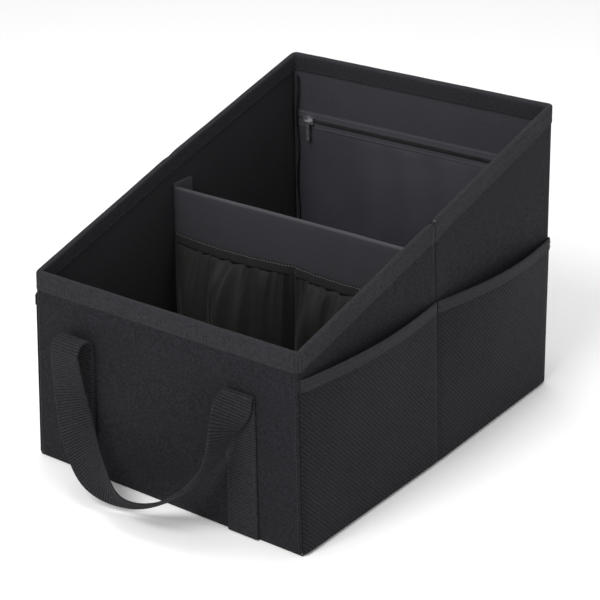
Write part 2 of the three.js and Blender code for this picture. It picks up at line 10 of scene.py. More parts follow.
import bpy
import numpy as np
from mathutils import Matrix, Vector
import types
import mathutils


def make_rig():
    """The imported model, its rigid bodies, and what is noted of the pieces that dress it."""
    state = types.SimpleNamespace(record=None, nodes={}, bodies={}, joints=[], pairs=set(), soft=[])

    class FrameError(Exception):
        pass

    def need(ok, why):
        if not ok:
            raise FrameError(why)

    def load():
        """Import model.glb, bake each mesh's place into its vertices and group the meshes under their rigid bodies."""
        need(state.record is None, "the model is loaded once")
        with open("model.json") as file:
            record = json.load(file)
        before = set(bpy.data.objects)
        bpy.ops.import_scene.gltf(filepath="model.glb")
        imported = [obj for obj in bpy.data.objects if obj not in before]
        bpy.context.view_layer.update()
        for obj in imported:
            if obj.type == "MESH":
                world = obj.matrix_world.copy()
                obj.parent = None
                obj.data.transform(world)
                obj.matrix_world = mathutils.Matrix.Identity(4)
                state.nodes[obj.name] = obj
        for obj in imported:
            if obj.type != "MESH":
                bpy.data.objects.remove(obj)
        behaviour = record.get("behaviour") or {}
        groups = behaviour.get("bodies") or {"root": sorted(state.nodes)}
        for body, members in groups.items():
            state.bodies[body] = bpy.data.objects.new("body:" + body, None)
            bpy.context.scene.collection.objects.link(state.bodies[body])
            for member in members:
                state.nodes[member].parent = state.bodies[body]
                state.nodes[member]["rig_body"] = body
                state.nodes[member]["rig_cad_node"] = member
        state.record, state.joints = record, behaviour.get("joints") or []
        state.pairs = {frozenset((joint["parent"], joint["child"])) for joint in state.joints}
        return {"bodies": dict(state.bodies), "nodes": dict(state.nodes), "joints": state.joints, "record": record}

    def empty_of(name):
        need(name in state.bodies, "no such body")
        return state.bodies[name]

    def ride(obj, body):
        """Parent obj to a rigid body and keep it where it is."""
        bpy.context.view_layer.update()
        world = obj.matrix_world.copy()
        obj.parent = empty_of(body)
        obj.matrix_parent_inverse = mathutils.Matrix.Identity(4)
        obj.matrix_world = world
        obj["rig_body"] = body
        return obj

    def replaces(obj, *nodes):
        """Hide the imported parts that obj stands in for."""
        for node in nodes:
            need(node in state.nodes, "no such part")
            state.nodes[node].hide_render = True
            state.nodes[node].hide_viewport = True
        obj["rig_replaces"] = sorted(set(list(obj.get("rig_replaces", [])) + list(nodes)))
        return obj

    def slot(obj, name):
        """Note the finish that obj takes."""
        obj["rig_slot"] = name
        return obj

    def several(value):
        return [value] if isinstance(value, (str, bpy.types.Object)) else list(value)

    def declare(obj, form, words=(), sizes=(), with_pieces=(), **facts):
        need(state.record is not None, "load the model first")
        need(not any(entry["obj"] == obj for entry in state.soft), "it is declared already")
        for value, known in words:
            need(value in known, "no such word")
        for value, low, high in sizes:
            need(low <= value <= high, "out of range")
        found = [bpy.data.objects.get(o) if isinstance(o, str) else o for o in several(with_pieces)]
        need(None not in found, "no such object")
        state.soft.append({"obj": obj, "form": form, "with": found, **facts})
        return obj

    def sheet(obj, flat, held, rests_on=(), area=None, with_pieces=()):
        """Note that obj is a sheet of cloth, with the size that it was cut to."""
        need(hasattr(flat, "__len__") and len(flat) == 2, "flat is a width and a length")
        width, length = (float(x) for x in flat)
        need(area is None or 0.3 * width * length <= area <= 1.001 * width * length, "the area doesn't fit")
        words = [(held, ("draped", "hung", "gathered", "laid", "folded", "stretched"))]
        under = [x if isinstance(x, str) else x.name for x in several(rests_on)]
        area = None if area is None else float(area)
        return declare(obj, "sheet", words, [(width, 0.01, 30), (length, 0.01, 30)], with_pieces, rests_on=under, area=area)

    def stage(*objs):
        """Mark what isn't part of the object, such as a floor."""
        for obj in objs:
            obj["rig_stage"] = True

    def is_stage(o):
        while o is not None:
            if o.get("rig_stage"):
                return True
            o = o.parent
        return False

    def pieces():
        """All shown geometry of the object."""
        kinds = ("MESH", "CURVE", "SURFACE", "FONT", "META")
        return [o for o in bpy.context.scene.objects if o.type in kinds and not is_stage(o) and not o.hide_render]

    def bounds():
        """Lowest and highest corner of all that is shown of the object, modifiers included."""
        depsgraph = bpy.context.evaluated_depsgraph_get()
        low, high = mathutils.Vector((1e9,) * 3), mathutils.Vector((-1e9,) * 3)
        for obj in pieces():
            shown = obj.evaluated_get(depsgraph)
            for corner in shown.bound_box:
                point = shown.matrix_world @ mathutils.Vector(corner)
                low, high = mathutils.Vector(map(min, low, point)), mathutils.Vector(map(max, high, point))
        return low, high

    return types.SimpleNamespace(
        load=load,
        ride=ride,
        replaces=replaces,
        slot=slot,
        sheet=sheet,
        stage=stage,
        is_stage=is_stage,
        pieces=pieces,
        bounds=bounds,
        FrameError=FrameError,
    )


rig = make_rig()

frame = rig.load()
cad_low, cad_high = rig.bounds()
print("frame:", len(frame["nodes"]), "nodes on bodies", sorted(frame["bodies"]))

# %% [markdown]
# Lengths are kept in metres, because Blender's unit is the metre. MM turns a size that a maker
# would give in millimetres into metres, so the numbers below read like a cutting list.

# %% The box and its layers
MM = 0.001
PI = math.pi
HALF_WIDTH, HALF_DEPTH = 140 * MM, 180 * MM
FRONT_HEIGHT, BACK_HEIGHT = 167 * MM, 262 * MM
FOLD_BOW = 2.5 * MM
FRONT_RIM_IN, BACK_RIM_IN = 5.6 * MM, 1.6 * MM
FRONT_LEAN = 7 * MM
OUTER_CLOTH, BOARD, LINING = 0.9 * MM, 2 * MM, 0.6 * MM
PLAY = 0.3 * MM
TAPE = 0.6 * MM
LINING_OUT = OUTER_CLOTH + PLAY + BOARD + PLAY
LINING_IN = LINING_OUT + LINING
INSIDE_FACE = LINING_IN + PLAY
WALL_TOP_DROP = TAPE + PLAY
SIDES = ((-1, "left"), (1, "right"))
ENDS = ((-1, "front"), (1, "back"))


def mix(a, b, t):
    return a + (b - a) * t


def depth_share(y):
    """0 at the front wall and 1 at the back wall."""
    return (y + HALF_DEPTH) / (2 * HALF_DEPTH)


def rim_height(y):
    return mix(FRONT_HEIGHT, BACK_HEIGHT, depth_share(y))


def settle(x, y, z):
    """Carries points of the straight-sided box to where the sewn box stands."""
    x, y, z = np.broadcast_arrays(x, y, z)
    side_lean = mix(FRONT_RIM_IN / FRONT_HEIGHT, BACK_RIM_IN / BACK_HEIGHT, depth_share(y))
    widening = FOLD_BOW * (1 - np.minimum(1, np.abs(y) / HALF_DEPTH)) - side_lean * z
    lean_back = FRONT_LEAN * (z / FRONT_HEIGHT) * np.maximum(0, -y) / HALF_DEPTH
    return np.stack([x * (1 + widening / HALF_WIDTH), y + lean_back, z], -1)


print("box: %.0f x %.0f mm, %.0f to %.0f mm high" % tuple(
    v / MM for v in (2 * HALF_WIDTH, 2 * HALF_DEPTH, FRONT_HEIGHT, BACK_HEIGHT)))

# %% [markdown]
# The camera comes first. Its place was worked out from the corners of the box in the photograph: a
# long lens, a good metre and a half away, looking down a little and rolled by just over a degree.

# %% Camera
AZIMUTH, ELEVATION, ROLL = (math.radians(degrees) for degrees in (37.956, 24.579, -1.33))
DISTANCE = 1.5745
AIM = Vector((0.00265, 0, 0.1124))
SENSOR = 36
PHOTO_WIDTH, FOCAL_PIXELS = 600, 1856.66
FOCAL_LENGTH = FOCAL_PIXELS / PHOTO_WIDTH * SENSOR


def add_object(name, data):
    item = bpy.data.objects.new(name, data)
    bpy.context.scene.collection.objects.link(item)
    return item


level = math.cos(ELEVATION)
back = Vector((math.sin(AZIMUTH) * level, -math.cos(AZIMUTH) * level, math.sin(ELEVATION)))
right = (-back).cross(Vector((0, 0, 1))).normalized()
up = right.cross(-back)
rolled_right = right * math.cos(ROLL) + up * math.sin(ROLL)
rolled_up = up * math.cos(ROLL) - right * math.sin(ROLL)
camera = add_object("camera", bpy.data.cameras.new("camera"))
camera.data.sensor_width = SENSOR
camera.data.lens = FOCAL_LENGTH
camera.matrix_world = Matrix.Translation(AIM + back * DISTANCE) @ Matrix(
    (rolled_right, rolled_up, back)).transposed().to_4x4()
bpy.context.scene.camera = camera
print("camera: lens %.0f mm" % FOCAL_LENGTH)

# %% [markdown]
# The world, the materials and the stitches are all built from nodes. A few small helpers add a
# node, set its values and link its inputs, which keeps everything after them readable.

# %% Node helpers
FLOAT, VECTOR, GEOMETRY = "NodeSocketFloat", "NodeSocketVector", "NodeSocketGeometry"


def feed(node, **links):
    """Sets or links a node's inputs, given by name with _ for spaces, or by number as in0, in1."""
    for key, value in links.items():
        numbered = key[:2] == "in" and key[2:].isdigit()
        socket = node.inputs[int(key[2:]) if numbered else key.replace("_", " ")]
        if isinstance(value, bpy.types.NodeSocket):
            node.id_data.links.new(value, socket)
        else:
            socket.default_value = value


def put(tree, kind, settings=None, **links):
    """Adds a node with the given settings, feeds its inputs and returns its outputs."""
    node = tree.nodes.new(kind)
    for key, value in (settings or {}).items():
        setattr(node, key, value)
    feed(node, **links)
    return node.outputs


def calculator(tree):
    """Makes a short form of the math node for one tree: calc("ADD", a, b) is its output."""
    def calc(operation, *values):
        numbered = {"in%d" % i: value for i, value in enumerate(values)}
        return put(tree, "ShaderNodeMath", {"operation": operation}, **numbered)[0]
    return calc


def new_group(name, inputs, outputs, kind="ShaderNodeTree", output_type=FLOAT):
    """A node group; inputs are (name, socket type, default), outputs are names."""
    group = bpy.data.node_groups.new(name, kind)
    for title, socket_type, default in inputs:
        item = group.interface.new_socket(title, in_out="INPUT", socket_type=socket_type)
        if default is not None:
            item.default_value = default
    for title in outputs:
        group.interface.new_socket(title, in_out="OUTPUT", socket_type=output_type)
    given, result = (group.nodes.new("NodeGroup" + word) for word in ("Input", "Output"))
    return group, given.outputs, result, calculator(group)


def new_material(name):
    material = bpy.data.materials.new(name)
    material.use_nodes = True
    return material, material.node_tree, material.node_tree.nodes["Principled BSDF"]


print("node helpers ready")

# %% [markdown]
# The room is a white studio: a floor that catches a soft shadow, an even white world and three soft
# disk lamps, the key lamp in front and above, a weak one on the right and one overhead. The world
# answers camera, glossy and transmitted rays with plain white, so the background stays clean and
# metal has something to mirror.

# %% Floor, world and lamps
FLOOR_SIZE = 14.0
FLOOR_DROP = 0.3 * MM
WORLD_LIGHT, WORLD_WHITE = 0.62, 1.0

bpy.context.scene.view_settings.view_transform = "Standard"
world = bpy.data.worlds.new("studio")
bpy.context.scene.world = world
world.use_nodes = True
air = world.node_tree
air.nodes.clear()
calc = calculator(air)
rays = put(air, "ShaderNodeLightPath")
straight_rays = calc("MAXIMUM", rays["Is Camera Ray"], rays["Is Transmission Ray"])
seen = calc("MAXIMUM", straight_rays, rays["Is Glossy Ray"])
strength = put(air, "ShaderNodeMapRange", Value=seen, To_Min=WORLD_LIGHT, To_Max=WORLD_WHITE)[0]
sky = put(air, "ShaderNodeBackground", Color=(1, 1, 1, 1), Strength=strength)[0]
put(air, "ShaderNodeOutputWorld", Surface=sky)


def lamp(name, place, size, power):
    light = bpy.data.lights.new(name, "AREA")
    light.shape = "DISK"
    light.size = size
    light.energy = power
    item = add_object(name, light)
    item.location = place
    item.rotation_mode = "QUATERNION"
    item.rotation_quaternion = (Vector(place) - AIM).to_track_quat("Z", "Y")


lamp("key_lamp", (0.0, -1.8, 2.0), 1.3, 42)
lamp("side_lamp", (2.0, -0.7, 0.5), 1.2, 8)
lamp("top_lamp", (-0.2, 0.3, 2.3), 1.2, 13)

reach = FLOOR_SIZE / 2
corners = [(-reach, -reach, 0), (reach, -reach, 0), (reach, reach, 0), (-reach, reach, 0)]
floor = add_object("floor", bpy.data.meshes.new("floor"))
floor.data.from_pydata(corners, [], [(0, 1, 2, 3)])
floor.location.z = -FLOOR_DROP
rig.stage(floor)
paper, _, paper_shader = new_material("studio_paper")
feed(paper_shader, Base_Color=(0.995, 0.995, 0.995, 1), Roughness=0.9, Specular_IOR_Level=0.1)
floor.data.materials.append(paper)
print("studio: 3 lamps, floor %.0f m" % FLOOR_SIZE)

# %% [markdown]
# Woven cloth is threads that go over and under each other. On the real box the weave shows only as
# a fine grain on the walls, but as clear slanting lines on the side pockets. One group makes both:
# two rows of rounded threads, and a pattern that says which row is on top. Offsetting that pattern
# from one row to the next gives a twill. Seen from a metre away only the slanting ridges of a twill
# remain, so the Twill value blends towards those. The group reads the cloth's own UV map, which is
# measured in metres, so threads follow the cloth wherever it folds.

# %% Weave group


def build_weave():
    group, given, result, calc = new_group(
        "weave", [("Cloth", VECTOR, None), ("Thread", FLOAT, 1 * MM), ("Step", FLOAT, 1.0),
                  ("Run", FLOAT, 2.0), ("Twill", FLOAT, 0.0)], ["Height", "Gap"])

    def blend(share, low, high):
        return put(group, "ShaderNodeMix", {"data_type": "FLOAT"}, in0=share, in2=low, in3=high)[0]

    cloth = put(group, "ShaderNodeSeparateXYZ", Vector=given["Cloth"])
    warp, weft = (calc("DIVIDE", cloth[axis], given["Thread"]) for axis in "XY")
    stepped = calc("MULTIPLY", calc("FLOOR", weft), given["Step"])
    place = calc("FLOORED_MODULO", calc("ADD", calc("FLOOR", warp), stepped), given["Run"])
    warp_up = calc("LESS_THAN", place, calc("MULTIPLY", given["Run"], 0.5))
    rounded = [calc("SINE", calc("MULTIPLY", calc("FRACT", row), PI)) for row in (warp, weft)]
    top = blend(warp_up, rounded[1], rounded[0])
    both = calc("MULTIPLY", *rounded)
    height = calc("MULTIPLY_ADD", top, 0.7, calc("MULTIPLY", both, 0.3))
    # Gap is high between the threads, and between the ridges of a twill; the cloth material darkens its colour there
    # as painted shade.
    gap = calc("SUBTRACT", 1.0, calc("POWER", both, 0.35))
    slanting = calc("DIVIDE", calc("MULTIPLY_ADD", weft, given["Step"], warp), given["Run"])
    ridge = calc("ABSOLUTE", calc("SINE", calc("MULTIPLY", slanting, PI)))
    feed(result, Height=blend(given["Twill"], height, ridge),
         Gap=blend(given["Twill"], gap, calc("SUBTRACT", 1.0, ridge)))
    return group


weave_group = build_weave()
print("node group:", weave_group.name)

# %% [markdown]
# Binding tape, webbing and elastic are ribbed: weft cords run straight across the band. The rib
# group is a rounded wave along one direction of the UV map, broken up a little by noise, because
# hand-fed tape is never quite even.

# %% Rib group


def build_ribs():
    group, given, result, calc = new_group(
        "ribs", [("Cloth", VECTOR, None), ("Pitch", FLOAT, 1 * MM), ("Unevenness", FLOAT, 0.2)],
        ["Height", "Groove"])
    noise = put(group, "ShaderNodeTexNoise", Vector=given["Cloth"], Scale=220.0, Detail=2.0)[0]
    cloth = put(group, "ShaderNodeSeparateXYZ", Vector=given["Cloth"])
    moved = calc("ADD", calc("DIVIDE", cloth["Y"], given["Pitch"]),
                 calc("MULTIPLY", noise, given["Unevenness"]))
    wave = calc("ABSOLUTE", calc("SINE", calc("MULTIPLY", moved, PI)))
    # Groove is high between the ribs; the cloth material darkens its colour there as painted shade.
    feed(result, Height=wave, Groove=calc("SUBTRACT", 1.0, calc("POWER", wave, 0.5)))
    return group


rib_group = build_ribs()
print("node group:", rib_group.name)

# %% [markdown]
# Black cloth is never one black. Dye, lint and handling leave cloudy patches a few centimetres wide
# and a fine salt-and-pepper grain. The mottle group mixes both into one factor around 1 that is
# multiplied onto the colour, and puts out a lint mask for lighter specks of fluff.

# %% Mottle group


def build_mottle():
    group, given, result, calc = new_group(
        "mottle", [("Place", VECTOR, None), ("Clouds", FLOAT, 0.12), ("Grain", FLOAT, 0.2)],
        ["Shade", "Lint"])

    def noise(**values):
        return put(group, "ShaderNodeTexNoise", Vector=given["Place"], **values)[0]

    clouds, grain = noise(Scale=22.0, Detail=3.0), noise(Scale=520.0, Detail=3.0, Roughness=0.7)
    cloud_part, grain_part = (
        calc("MULTIPLY", calc("SUBTRACT", field, 0.5), given[title])
        for field, title in ((clouds, "Clouds"), (grain, "Grain")))
    shade = calc("MULTIPLY_ADD", calc("ADD", cloud_part, grain_part), 2.0, 1.0)
    lint = put(group, "ShaderNodeMapRange", Value=noise(Scale=1500.0, Detail=0.0),
               From_Min=0.72, From_Max=0.82)[0]
    feed(result, Shade=shade, Lint=lint)
    return group


mottle_group = build_mottle()
print("node group:", mottle_group.name)

# %% [markdown]
# One function now makes every cloth from those groups. What differs from cloth to cloth is given by
# name: its colour as a screen shows it, how rough it is, which pattern it has and how deep that
# pattern is in mm. Sheen is a plain value on the shader, as it is the same all over the cloth.

# %% Cloth materials
ROUGHNESS_SPREAD = 0.08
LINT_STRENGTH = 0.5


def tint(tree, colour, factor):
    """A screen colour turned into the linear values that Blender mixes with, times a factor."""
    def linear(value):
        value /= 255
        return value / 12.92 if value <= 0.04045 else ((value + 0.055) / 1.055) ** 2.4
    return put(tree, "ShaderNodeVectorMath", {"operation": "SCALE"},
               in0=tuple(linear(value) for value in colour), Scale=factor)[0]


def cloth_material(name, colour, pattern, values, depth, roughness=0.85, sheen=0.04, clouds=0.12,
                   grain=0.2, dark_gap=0.5, specular=0.12, opacity=None):
    """A cloth; values are the pattern group's inputs, opacity(tree, cloth) gives an alpha."""
    material, tree, shader = new_material(name)
    calc = calculator(tree)
    cloth = put(tree, "ShaderNodeUVMap", {"uv_map": "cloth"})[0]
    place = put(tree, "ShaderNodeTexCoord")["Object"]
    height, gap = put(tree, "ShaderNodeGroup", {"node_tree": pattern}, Cloth=cloth, **values)
    shade, lint = put(tree, "ShaderNodeGroup", {"node_tree": mottle_group}, Place=place,
                      Clouds=clouds, Grain=grain)
    # Painted shade: the colour is darkened where the threads part or the ribs dip, by dark_gap, for the shade in those
    # hollows.
    lit = calc("MULTIPLY", shade, calc("SUBTRACT", 1.0, calc("MULTIPLY", gap, dark_gap)))
    linty = calc("MULTIPLY_ADD", lint, LINT_STRENGTH, lit)
    uneven = put(tree, "ShaderNodeMapRange", Value=shade, From_Min=0.8, From_Max=1.2,
                 To_Min=min(1, roughness + ROUGHNESS_SPREAD), To_Max=roughness - ROUGHNESS_SPREAD)[0]
    relief = put(tree, "ShaderNodeBump", Strength=1.0, Distance=depth * MM, Height=height)[0]
    feed(shader, Base_Color=tint(tree, colour, linty), Roughness=uneven, Normal=relief,
         Sheen_Weight=sheen, Sheen_Roughness=0.45, Specular_IOR_Level=specular)
    if opacity:
        feed(shader, Alpha=opacity(tree, cloth))
    return material


def woven(name, colour, depth, thread, run=2.0, twill=0.0, **look):
    values = {"Thread": thread * MM, "Run": run, "Twill": twill}
    return cloth_material(name, colour, weave_group, values, depth, **look)


def ribbed(name, colour, depth, pitch, unevenness, **look):
    values = {"Pitch": pitch * MM, "Unevenness": unevenness}
    return cloth_material(name, colour, rib_group, values, depth, **look)


outer_cloth = woven("outer_cloth", (29, 28, 33), 0.14, 1.1, grain=1.2, dark_gap=0.6, clouds=0.09)
lining_cloth = woven("lining_cloth", (42, 41, 44), 0.08, 1.0)
# Painted light: the back lining is a paler copy of the lining, its colour lifted for light that the lamps bring too
# little of to the inside of the back wall.
back_lining_cloth = woven("back_lining_cloth", (61, 60, 66), 0.12, 1.1, grain=0.25)
pocket_cloth = woven("pocket_cloth", (30, 29, 34), 0.6, 1.0, run=4.0, twill=0.85, dark_gap=0.85,
                     grain=0.6)
binding_tape = ribbed("binding_tape", (41, 40, 44), 0.2, 1.5, 0.6, grain=0.75, dark_gap=0.6)
webbing = ribbed("webbing", (38, 37, 41), 0.15, 2.3, 0.12, dark_gap=0.95, grain=0.8)
elastic = ribbed("elastic", (37, 37, 37), 0.14, 1.1, 0.3)
satin = woven("satin_cloth", (52, 51, 56), 0.02, 0.5, run=5.0, roughness=0.6, clouds=0.2,
              grain=0.12, dark_gap=0.1, specular=0.3)
# Painted light: the pocket panel's satin is a paler copy of the divider's satin, its colour lifted for light that the
# lamps bring too little of inside the box. Its lower roughness and stronger specular are real shading.
panel_satin = woven("panel_satin", (57, 56, 62), 0.02, 0.5, run=5.0, roughness=0.4, clouds=0.3,
                    grain=0.1, dark_gap=0.1, specular=0.5)
hook_and_loop = woven("hook_and_loop", (34, 34, 36), 0.3, 1.2, roughness=0.95, sheen=0.3, grain=0.6)
# Painted sheen: the zip tapes get a pale colour that stands in for the sheen that makes the tape band look light.
zip_cloth = ribbed("zip_tape_cloth", (70, 69, 75), 0.08, 0.9, 0.1, roughness=0.7)
print("cloth materials:", len(bpy.data.materials) - 1)

# %% [markdown]
# The net is see-through. Its alpha comes from two sets of slanting strands: a point is solid where
# either strand passes, and open between them. The diamond-shaped holes show what lies behind.

# %% Net material
NET_PITCH = 1.7 * MM
STRAND_SHARE = 0.46


def net_opacity(tree, cloth):
    calc = calculator(tree)
    axes = put(tree, "ShaderNodeSeparateXYZ", Vector=cloth)
    solid = []
    for slope in (1.0, -1.0):
        leaning = calc("MULTIPLY_ADD", axes["X"], slope, axes["Y"])
        strand = calc("FRACT", calc("DIVIDE", leaning, NET_PITCH))
        away = calc("ABSOLUTE", calc("SUBTRACT", strand, 0.5))
        solid.append(calc("LESS_THAN", away, STRAND_SHARE / 2))
    return calc("MAXIMUM", *solid)


net = ribbed("net", (34, 34, 33), 0.05, 0.8, 0.6, roughness=0.7, specular=0.2, opacity=net_opacity)
print("net: holes every %.1f mm" % (NET_PITCH / MM))

# %% [markdown]
# The hard parts are few: plated zip metal, the nylon coil, thread and the boards inside the walls.
# Plated metal isn't a perfect mirror. Fingerprints and fine rubbing change its roughness from place
# to place.

# %% Metal, coil, thread and board
HARD_LOOKS = {
    # screen colour, roughness and its spread, noise scale, spread of tone, metallic, bump in mm
    "zip_metal": ((215, 216, 220), 0.3, 0.06, 260.0, 0.06, 0.92, 0.02),
    "zip_coil": ((26, 26, 28), 0.38, 0.06, 400.0, 0.2, 0.0, 0.0),
    "thread": ((23, 23, 26), 0.7, 0.1, 900.0, 0.3, 0.0, 0.05),
    "pale_thread": ((84, 83, 88), 0.5, 0.1, 900.0, 0.3, 0.0, 0.05),
    "stiffener_board": ((150, 142, 130), 0.8, 0.08, 120.0, 0.12, 0.0, 0.05),
}
FINER = 12


def hard_material(name, colour, roughness, spread, scale, tone_spread, metallic, bump):
    """A plain finish whose colour and roughness wander with noise in Object coordinates."""
    material, tree, shader = new_material(name)
    place = put(tree, "ShaderNodeTexCoord")["Object"]
    smudge = put(tree, "ShaderNodeTexNoise", Vector=place, Scale=scale, Detail=4.0, Roughness=0.6)[0]

    def around(middle, either_way):
        return put(tree, "ShaderNodeMapRange", Value=smudge, From_Min=0.3, From_Max=0.7,
                   To_Min=middle - either_way, To_Max=middle + either_way)[0]

    feed(shader, Base_Color=tint(tree, colour, around(1, tone_spread)),
         Roughness=around(roughness, spread), Metallic=metallic)
    if bump:
        fine = put(tree, "ShaderNodeTexNoise", Vector=place, Scale=scale * FINER, Detail=2.0)[0]
        relief = put(tree, "ShaderNodeBump", Strength=0.6, Distance=bump * MM, Height=fine)[0]
        feed(shader, Normal=relief)
    return material


hard = {name: hard_material(name, *look) for name, look in HARD_LOOKS.items()}
print("hard materials:", sorted(hard))

# %% [markdown]
# Almost every piece here is a thin sheet. It is described as two faces, an inner and an outer grid
# of points, which one function joins into a closed body with a turned-in edge. The function also
# writes the cloth's UV map in metres, and sees to it that the faces point outwards.

# %% Closed cloth body
SHARP_ANGLE = math.radians(50)
made = []


def grid(u, v):
    return np.meshgrid(u, v, indexing="ij")


def cloth_map(points):
    """A UV map in metres: distance along the rows and along the columns of a grid of points."""
    along_u = np.linalg.norm(np.diff(points, axis=0), axis=2).mean(1)
    along_v = np.linalg.norm(np.diff(points, axis=1), axis=2).mean(0)
    u, v = (np.concatenate([[0], np.cumsum(along)]) for along in (along_u, along_v))
    return np.stack(grid(u, v), -1)


def closed_body(name, sides, material, edge=0.45, cloth=None):
    """Joins an inner and an outer grid of points, shape (rows, columns, 3), into one closed body."""
    inner, outer = sides
    cloth = cloth_map(outer) if cloth is None else cloth
    rows, columns = inner.shape[:2]
    keep = np.ones((rows, columns, 1))
    keep[[0, -1]] = keep[:, [0, -1]] = edge
    middle = (inner + outer) / 2
    points = np.concatenate([(middle + (side - middle) * keep).reshape(-1, 3) for side in sides])
    count = rows * columns
    index = np.arange(count).reshape(rows, columns)
    quads = (index[:-1, :-1], index[1:, :-1], index[1:, 1:], index[:-1, 1:])
    a, b, c, d = (part.ravel() for part in quads)
    ring = np.concatenate([index[:, 0], index[-1, 1:], index[-2::-1, -1], index[0, -2:0:-1]])
    following = np.roll(ring, -1)
    faces = np.concatenate([
        np.stack([a, d, c, b], 1),
        np.stack([a, b, c, d], 1) + count,
        np.stack([ring, following, following + count, ring + count], 1),
    ])
    start, *ends = (points[faces[:, i]] for i in range(4))
    first, second = (np.cross(ends[i] - start, ends[i + 1] - start) for i in (0, 1))
    if ((first + second) * start).sum() < 0:
        faces = faces[:, ::-1]
    mesh = bpy.data.meshes.new(name)
    mesh.from_pydata(points.tolist(), [], faces.tolist())
    flat = np.concatenate([cloth.reshape(-1, 2)] * 2)[faces.ravel()]
    mesh.uv_layers.new(name="cloth").data.foreach_set("uv", flat.astype(np.float32).ravel())
    mesh.materials.append(material)
    mesh.shade_smooth()
    mesh.set_sharp_from_angle(angle=SHARP_ANGLE)
    made.append(add_object(name, mesh))
    return made[-1]


def sheet(name, u, v, place, material, edge=0.45):
    """A cloth body whose point for u, v and depth w (0 inner, 1 outer face) is place(u, v, w)."""
    u, v = grid(u, v)
    return closed_body(name, (place(u, v, 0.0), place(u, v, 1.0)), material, edge)


print("body helpers ready")

# %% [markdown]
# Cloth is described by few shapes: even or crowded steps along an edge, arches between two seams,
# a bell for a crease, and a ripple that keeps anything from being quite flat.

# %% Steps, arches and ripples
END_SHARE, END_STEPS = 0.03, 4
FOLD_SHARE, FOLD_STEPS = 0.012, 9
RIPPLES = ((0.19, 0.5), (0.083, 0.3), (0.037, 0.14), (0.017, 0.06))


def steps(count):
    return np.linspace(0, 1, count + 1)


def fine_ends(count):
    """Steps from 0 to 1 that are closer together near both ends, where a panel turns a corner."""
    ends = np.linspace(0, END_SHARE, END_STEPS + 1)[:-1]
    return np.concatenate([ends, np.linspace(END_SHARE, 1 - END_SHARE, count + 1), 1 - ends[::-1]])


def fine_fold(count):
    """As fine_ends, and closer together at the fold in the middle too."""
    fold = 0.5 + np.linspace(-FOLD_SHARE, FOLD_SHARE, FOLD_STEPS)
    u = np.sort(np.concatenate([fine_ends(count), fold]))
    return u[np.concatenate([[True], np.diff(u) > 1e-6])]


def arch(share):
    """Rises from 0 to 1 and falls back to 0 while share runs from 0 to 1."""
    return np.sin(PI * share)


def bell(distance, width):
    return np.exp(-(distance / width) ** 2)


def smooth(value, low, high):
    t = np.clip((value - low) / (high - low), 0, 1)
    return t * t * (3 - 2 * t)


def ripple(x, y, seed):
    """A smooth wander between about -1 and 1; x and y in metres, waves as length and weight."""
    total = 0
    for i, (length, weight) in enumerate(RIPPLES):
        turn = seed * 1.7 + i * 2.1
        cosine, sine = math.cos(turn), math.sin(turn)
        total = total + weight * np.sin(2 * PI * (x * cosine + y * sine) / length + seed + i)
        total = total + weight * np.sin(2 * PI * (y * cosine - x * sine) / (length * 1.3) + 2 * seed)
    return total / 2


print("shape helpers ready")

# %% [markdown]
# The outer cloth is pulled tight over the boards. It turns a small radius at every edge and lies a
# little uneven, which catches soft light. Front and back panels are flat; a side panel also has a
# crease at the fold, where its two boards end.

# %% Outer cloth
UNEVEN = 0.35 * MM
LOOSE_BASE = 0.5 * MM
CREASE_DEPTH, CREASE_WIDTH = 0.8 * MM, 1.6 * MM
CORNER_RADIUS = 3.5 * MM
MITRE = CORNER_RADIUS * (1 - math.cos(PI / 4))
# A layer: its outer and inner distance from the wall's face, its inset at the ends, its foot, and
# whether it turns round the box's corners.
SHELL = (0, OUTER_CLOTH, MITRE, MITRE, True)


def turn_in(distance):
    """How far a face drops within the corner radius, this far past the radius's start."""
    past = np.clip(distance, 0, CORNER_RADIUS * math.sin(PI / 4))
    return CORNER_RADIUS - np.sqrt(CORNER_RADIUS ** 2 - past ** 2)


def wall_drop(along, half, z):
    """The drop of a wall's face at its two upright edges and at its foot."""
    return turn_in(np.abs(along) - (half - CORNER_RADIUS)) + turn_in(CORNER_RADIUS - z)


def layer_depth(layer, half, along, z, w):
    """How far a point of a layer lies behind the wall's face."""
    out, inner, _, _, rounded = layer
    if rounded:
        return mix(inner, out, w) + wall_drop(along, half, z)
    return mix(out, inner, w)


def end_panel(name, end, layer, material, seed):
    """A layer of the front (end -1) or back (end 1) wall."""
    inset, foot = layer[2:4]
    y0 = end * HALF_DEPTH

    def place(u, v, w):
        x = mix(inset - HALF_WIDTH, HALF_WIDTH - inset, u)
        z = mix(foot, rim_height(y0) - WALL_TOP_DROP, v)
        swell = UNEVEN * ripple(x, z, seed) * arch(u) * arch(v)
        return settle(x, y0 - end * (layer_depth(layer, HALF_WIDTH, x, z, w) - swell), z)
    return sheet(name, fine_ends(40), fine_ends(28), place, material)


def side_panel(name, side, layer, material, seed):
    """A layer of the left (side -1) or right (side 1) wall."""
    inset, foot = layer[2:4]

    def place(u, v, w):
        y = mix(inset - HALF_DEPTH, HALF_DEPTH - inset, u)
        z = mix(foot, rim_height(y) - WALL_TOP_DROP, v)
        crease = CREASE_DEPTH * bell(y, CREASE_WIDTH)
        swell = UNEVEN * ripple(y, z, seed) * np.abs(arch(2 * u)) * arch(v)
        behind = layer_depth(layer, HALF_DEPTH, y, z, w) + crease - swell
        return settle(side * (HALF_WIDTH - behind), y, z)
    return sheet(name, fine_fold(48), fine_ends(28), place, material)


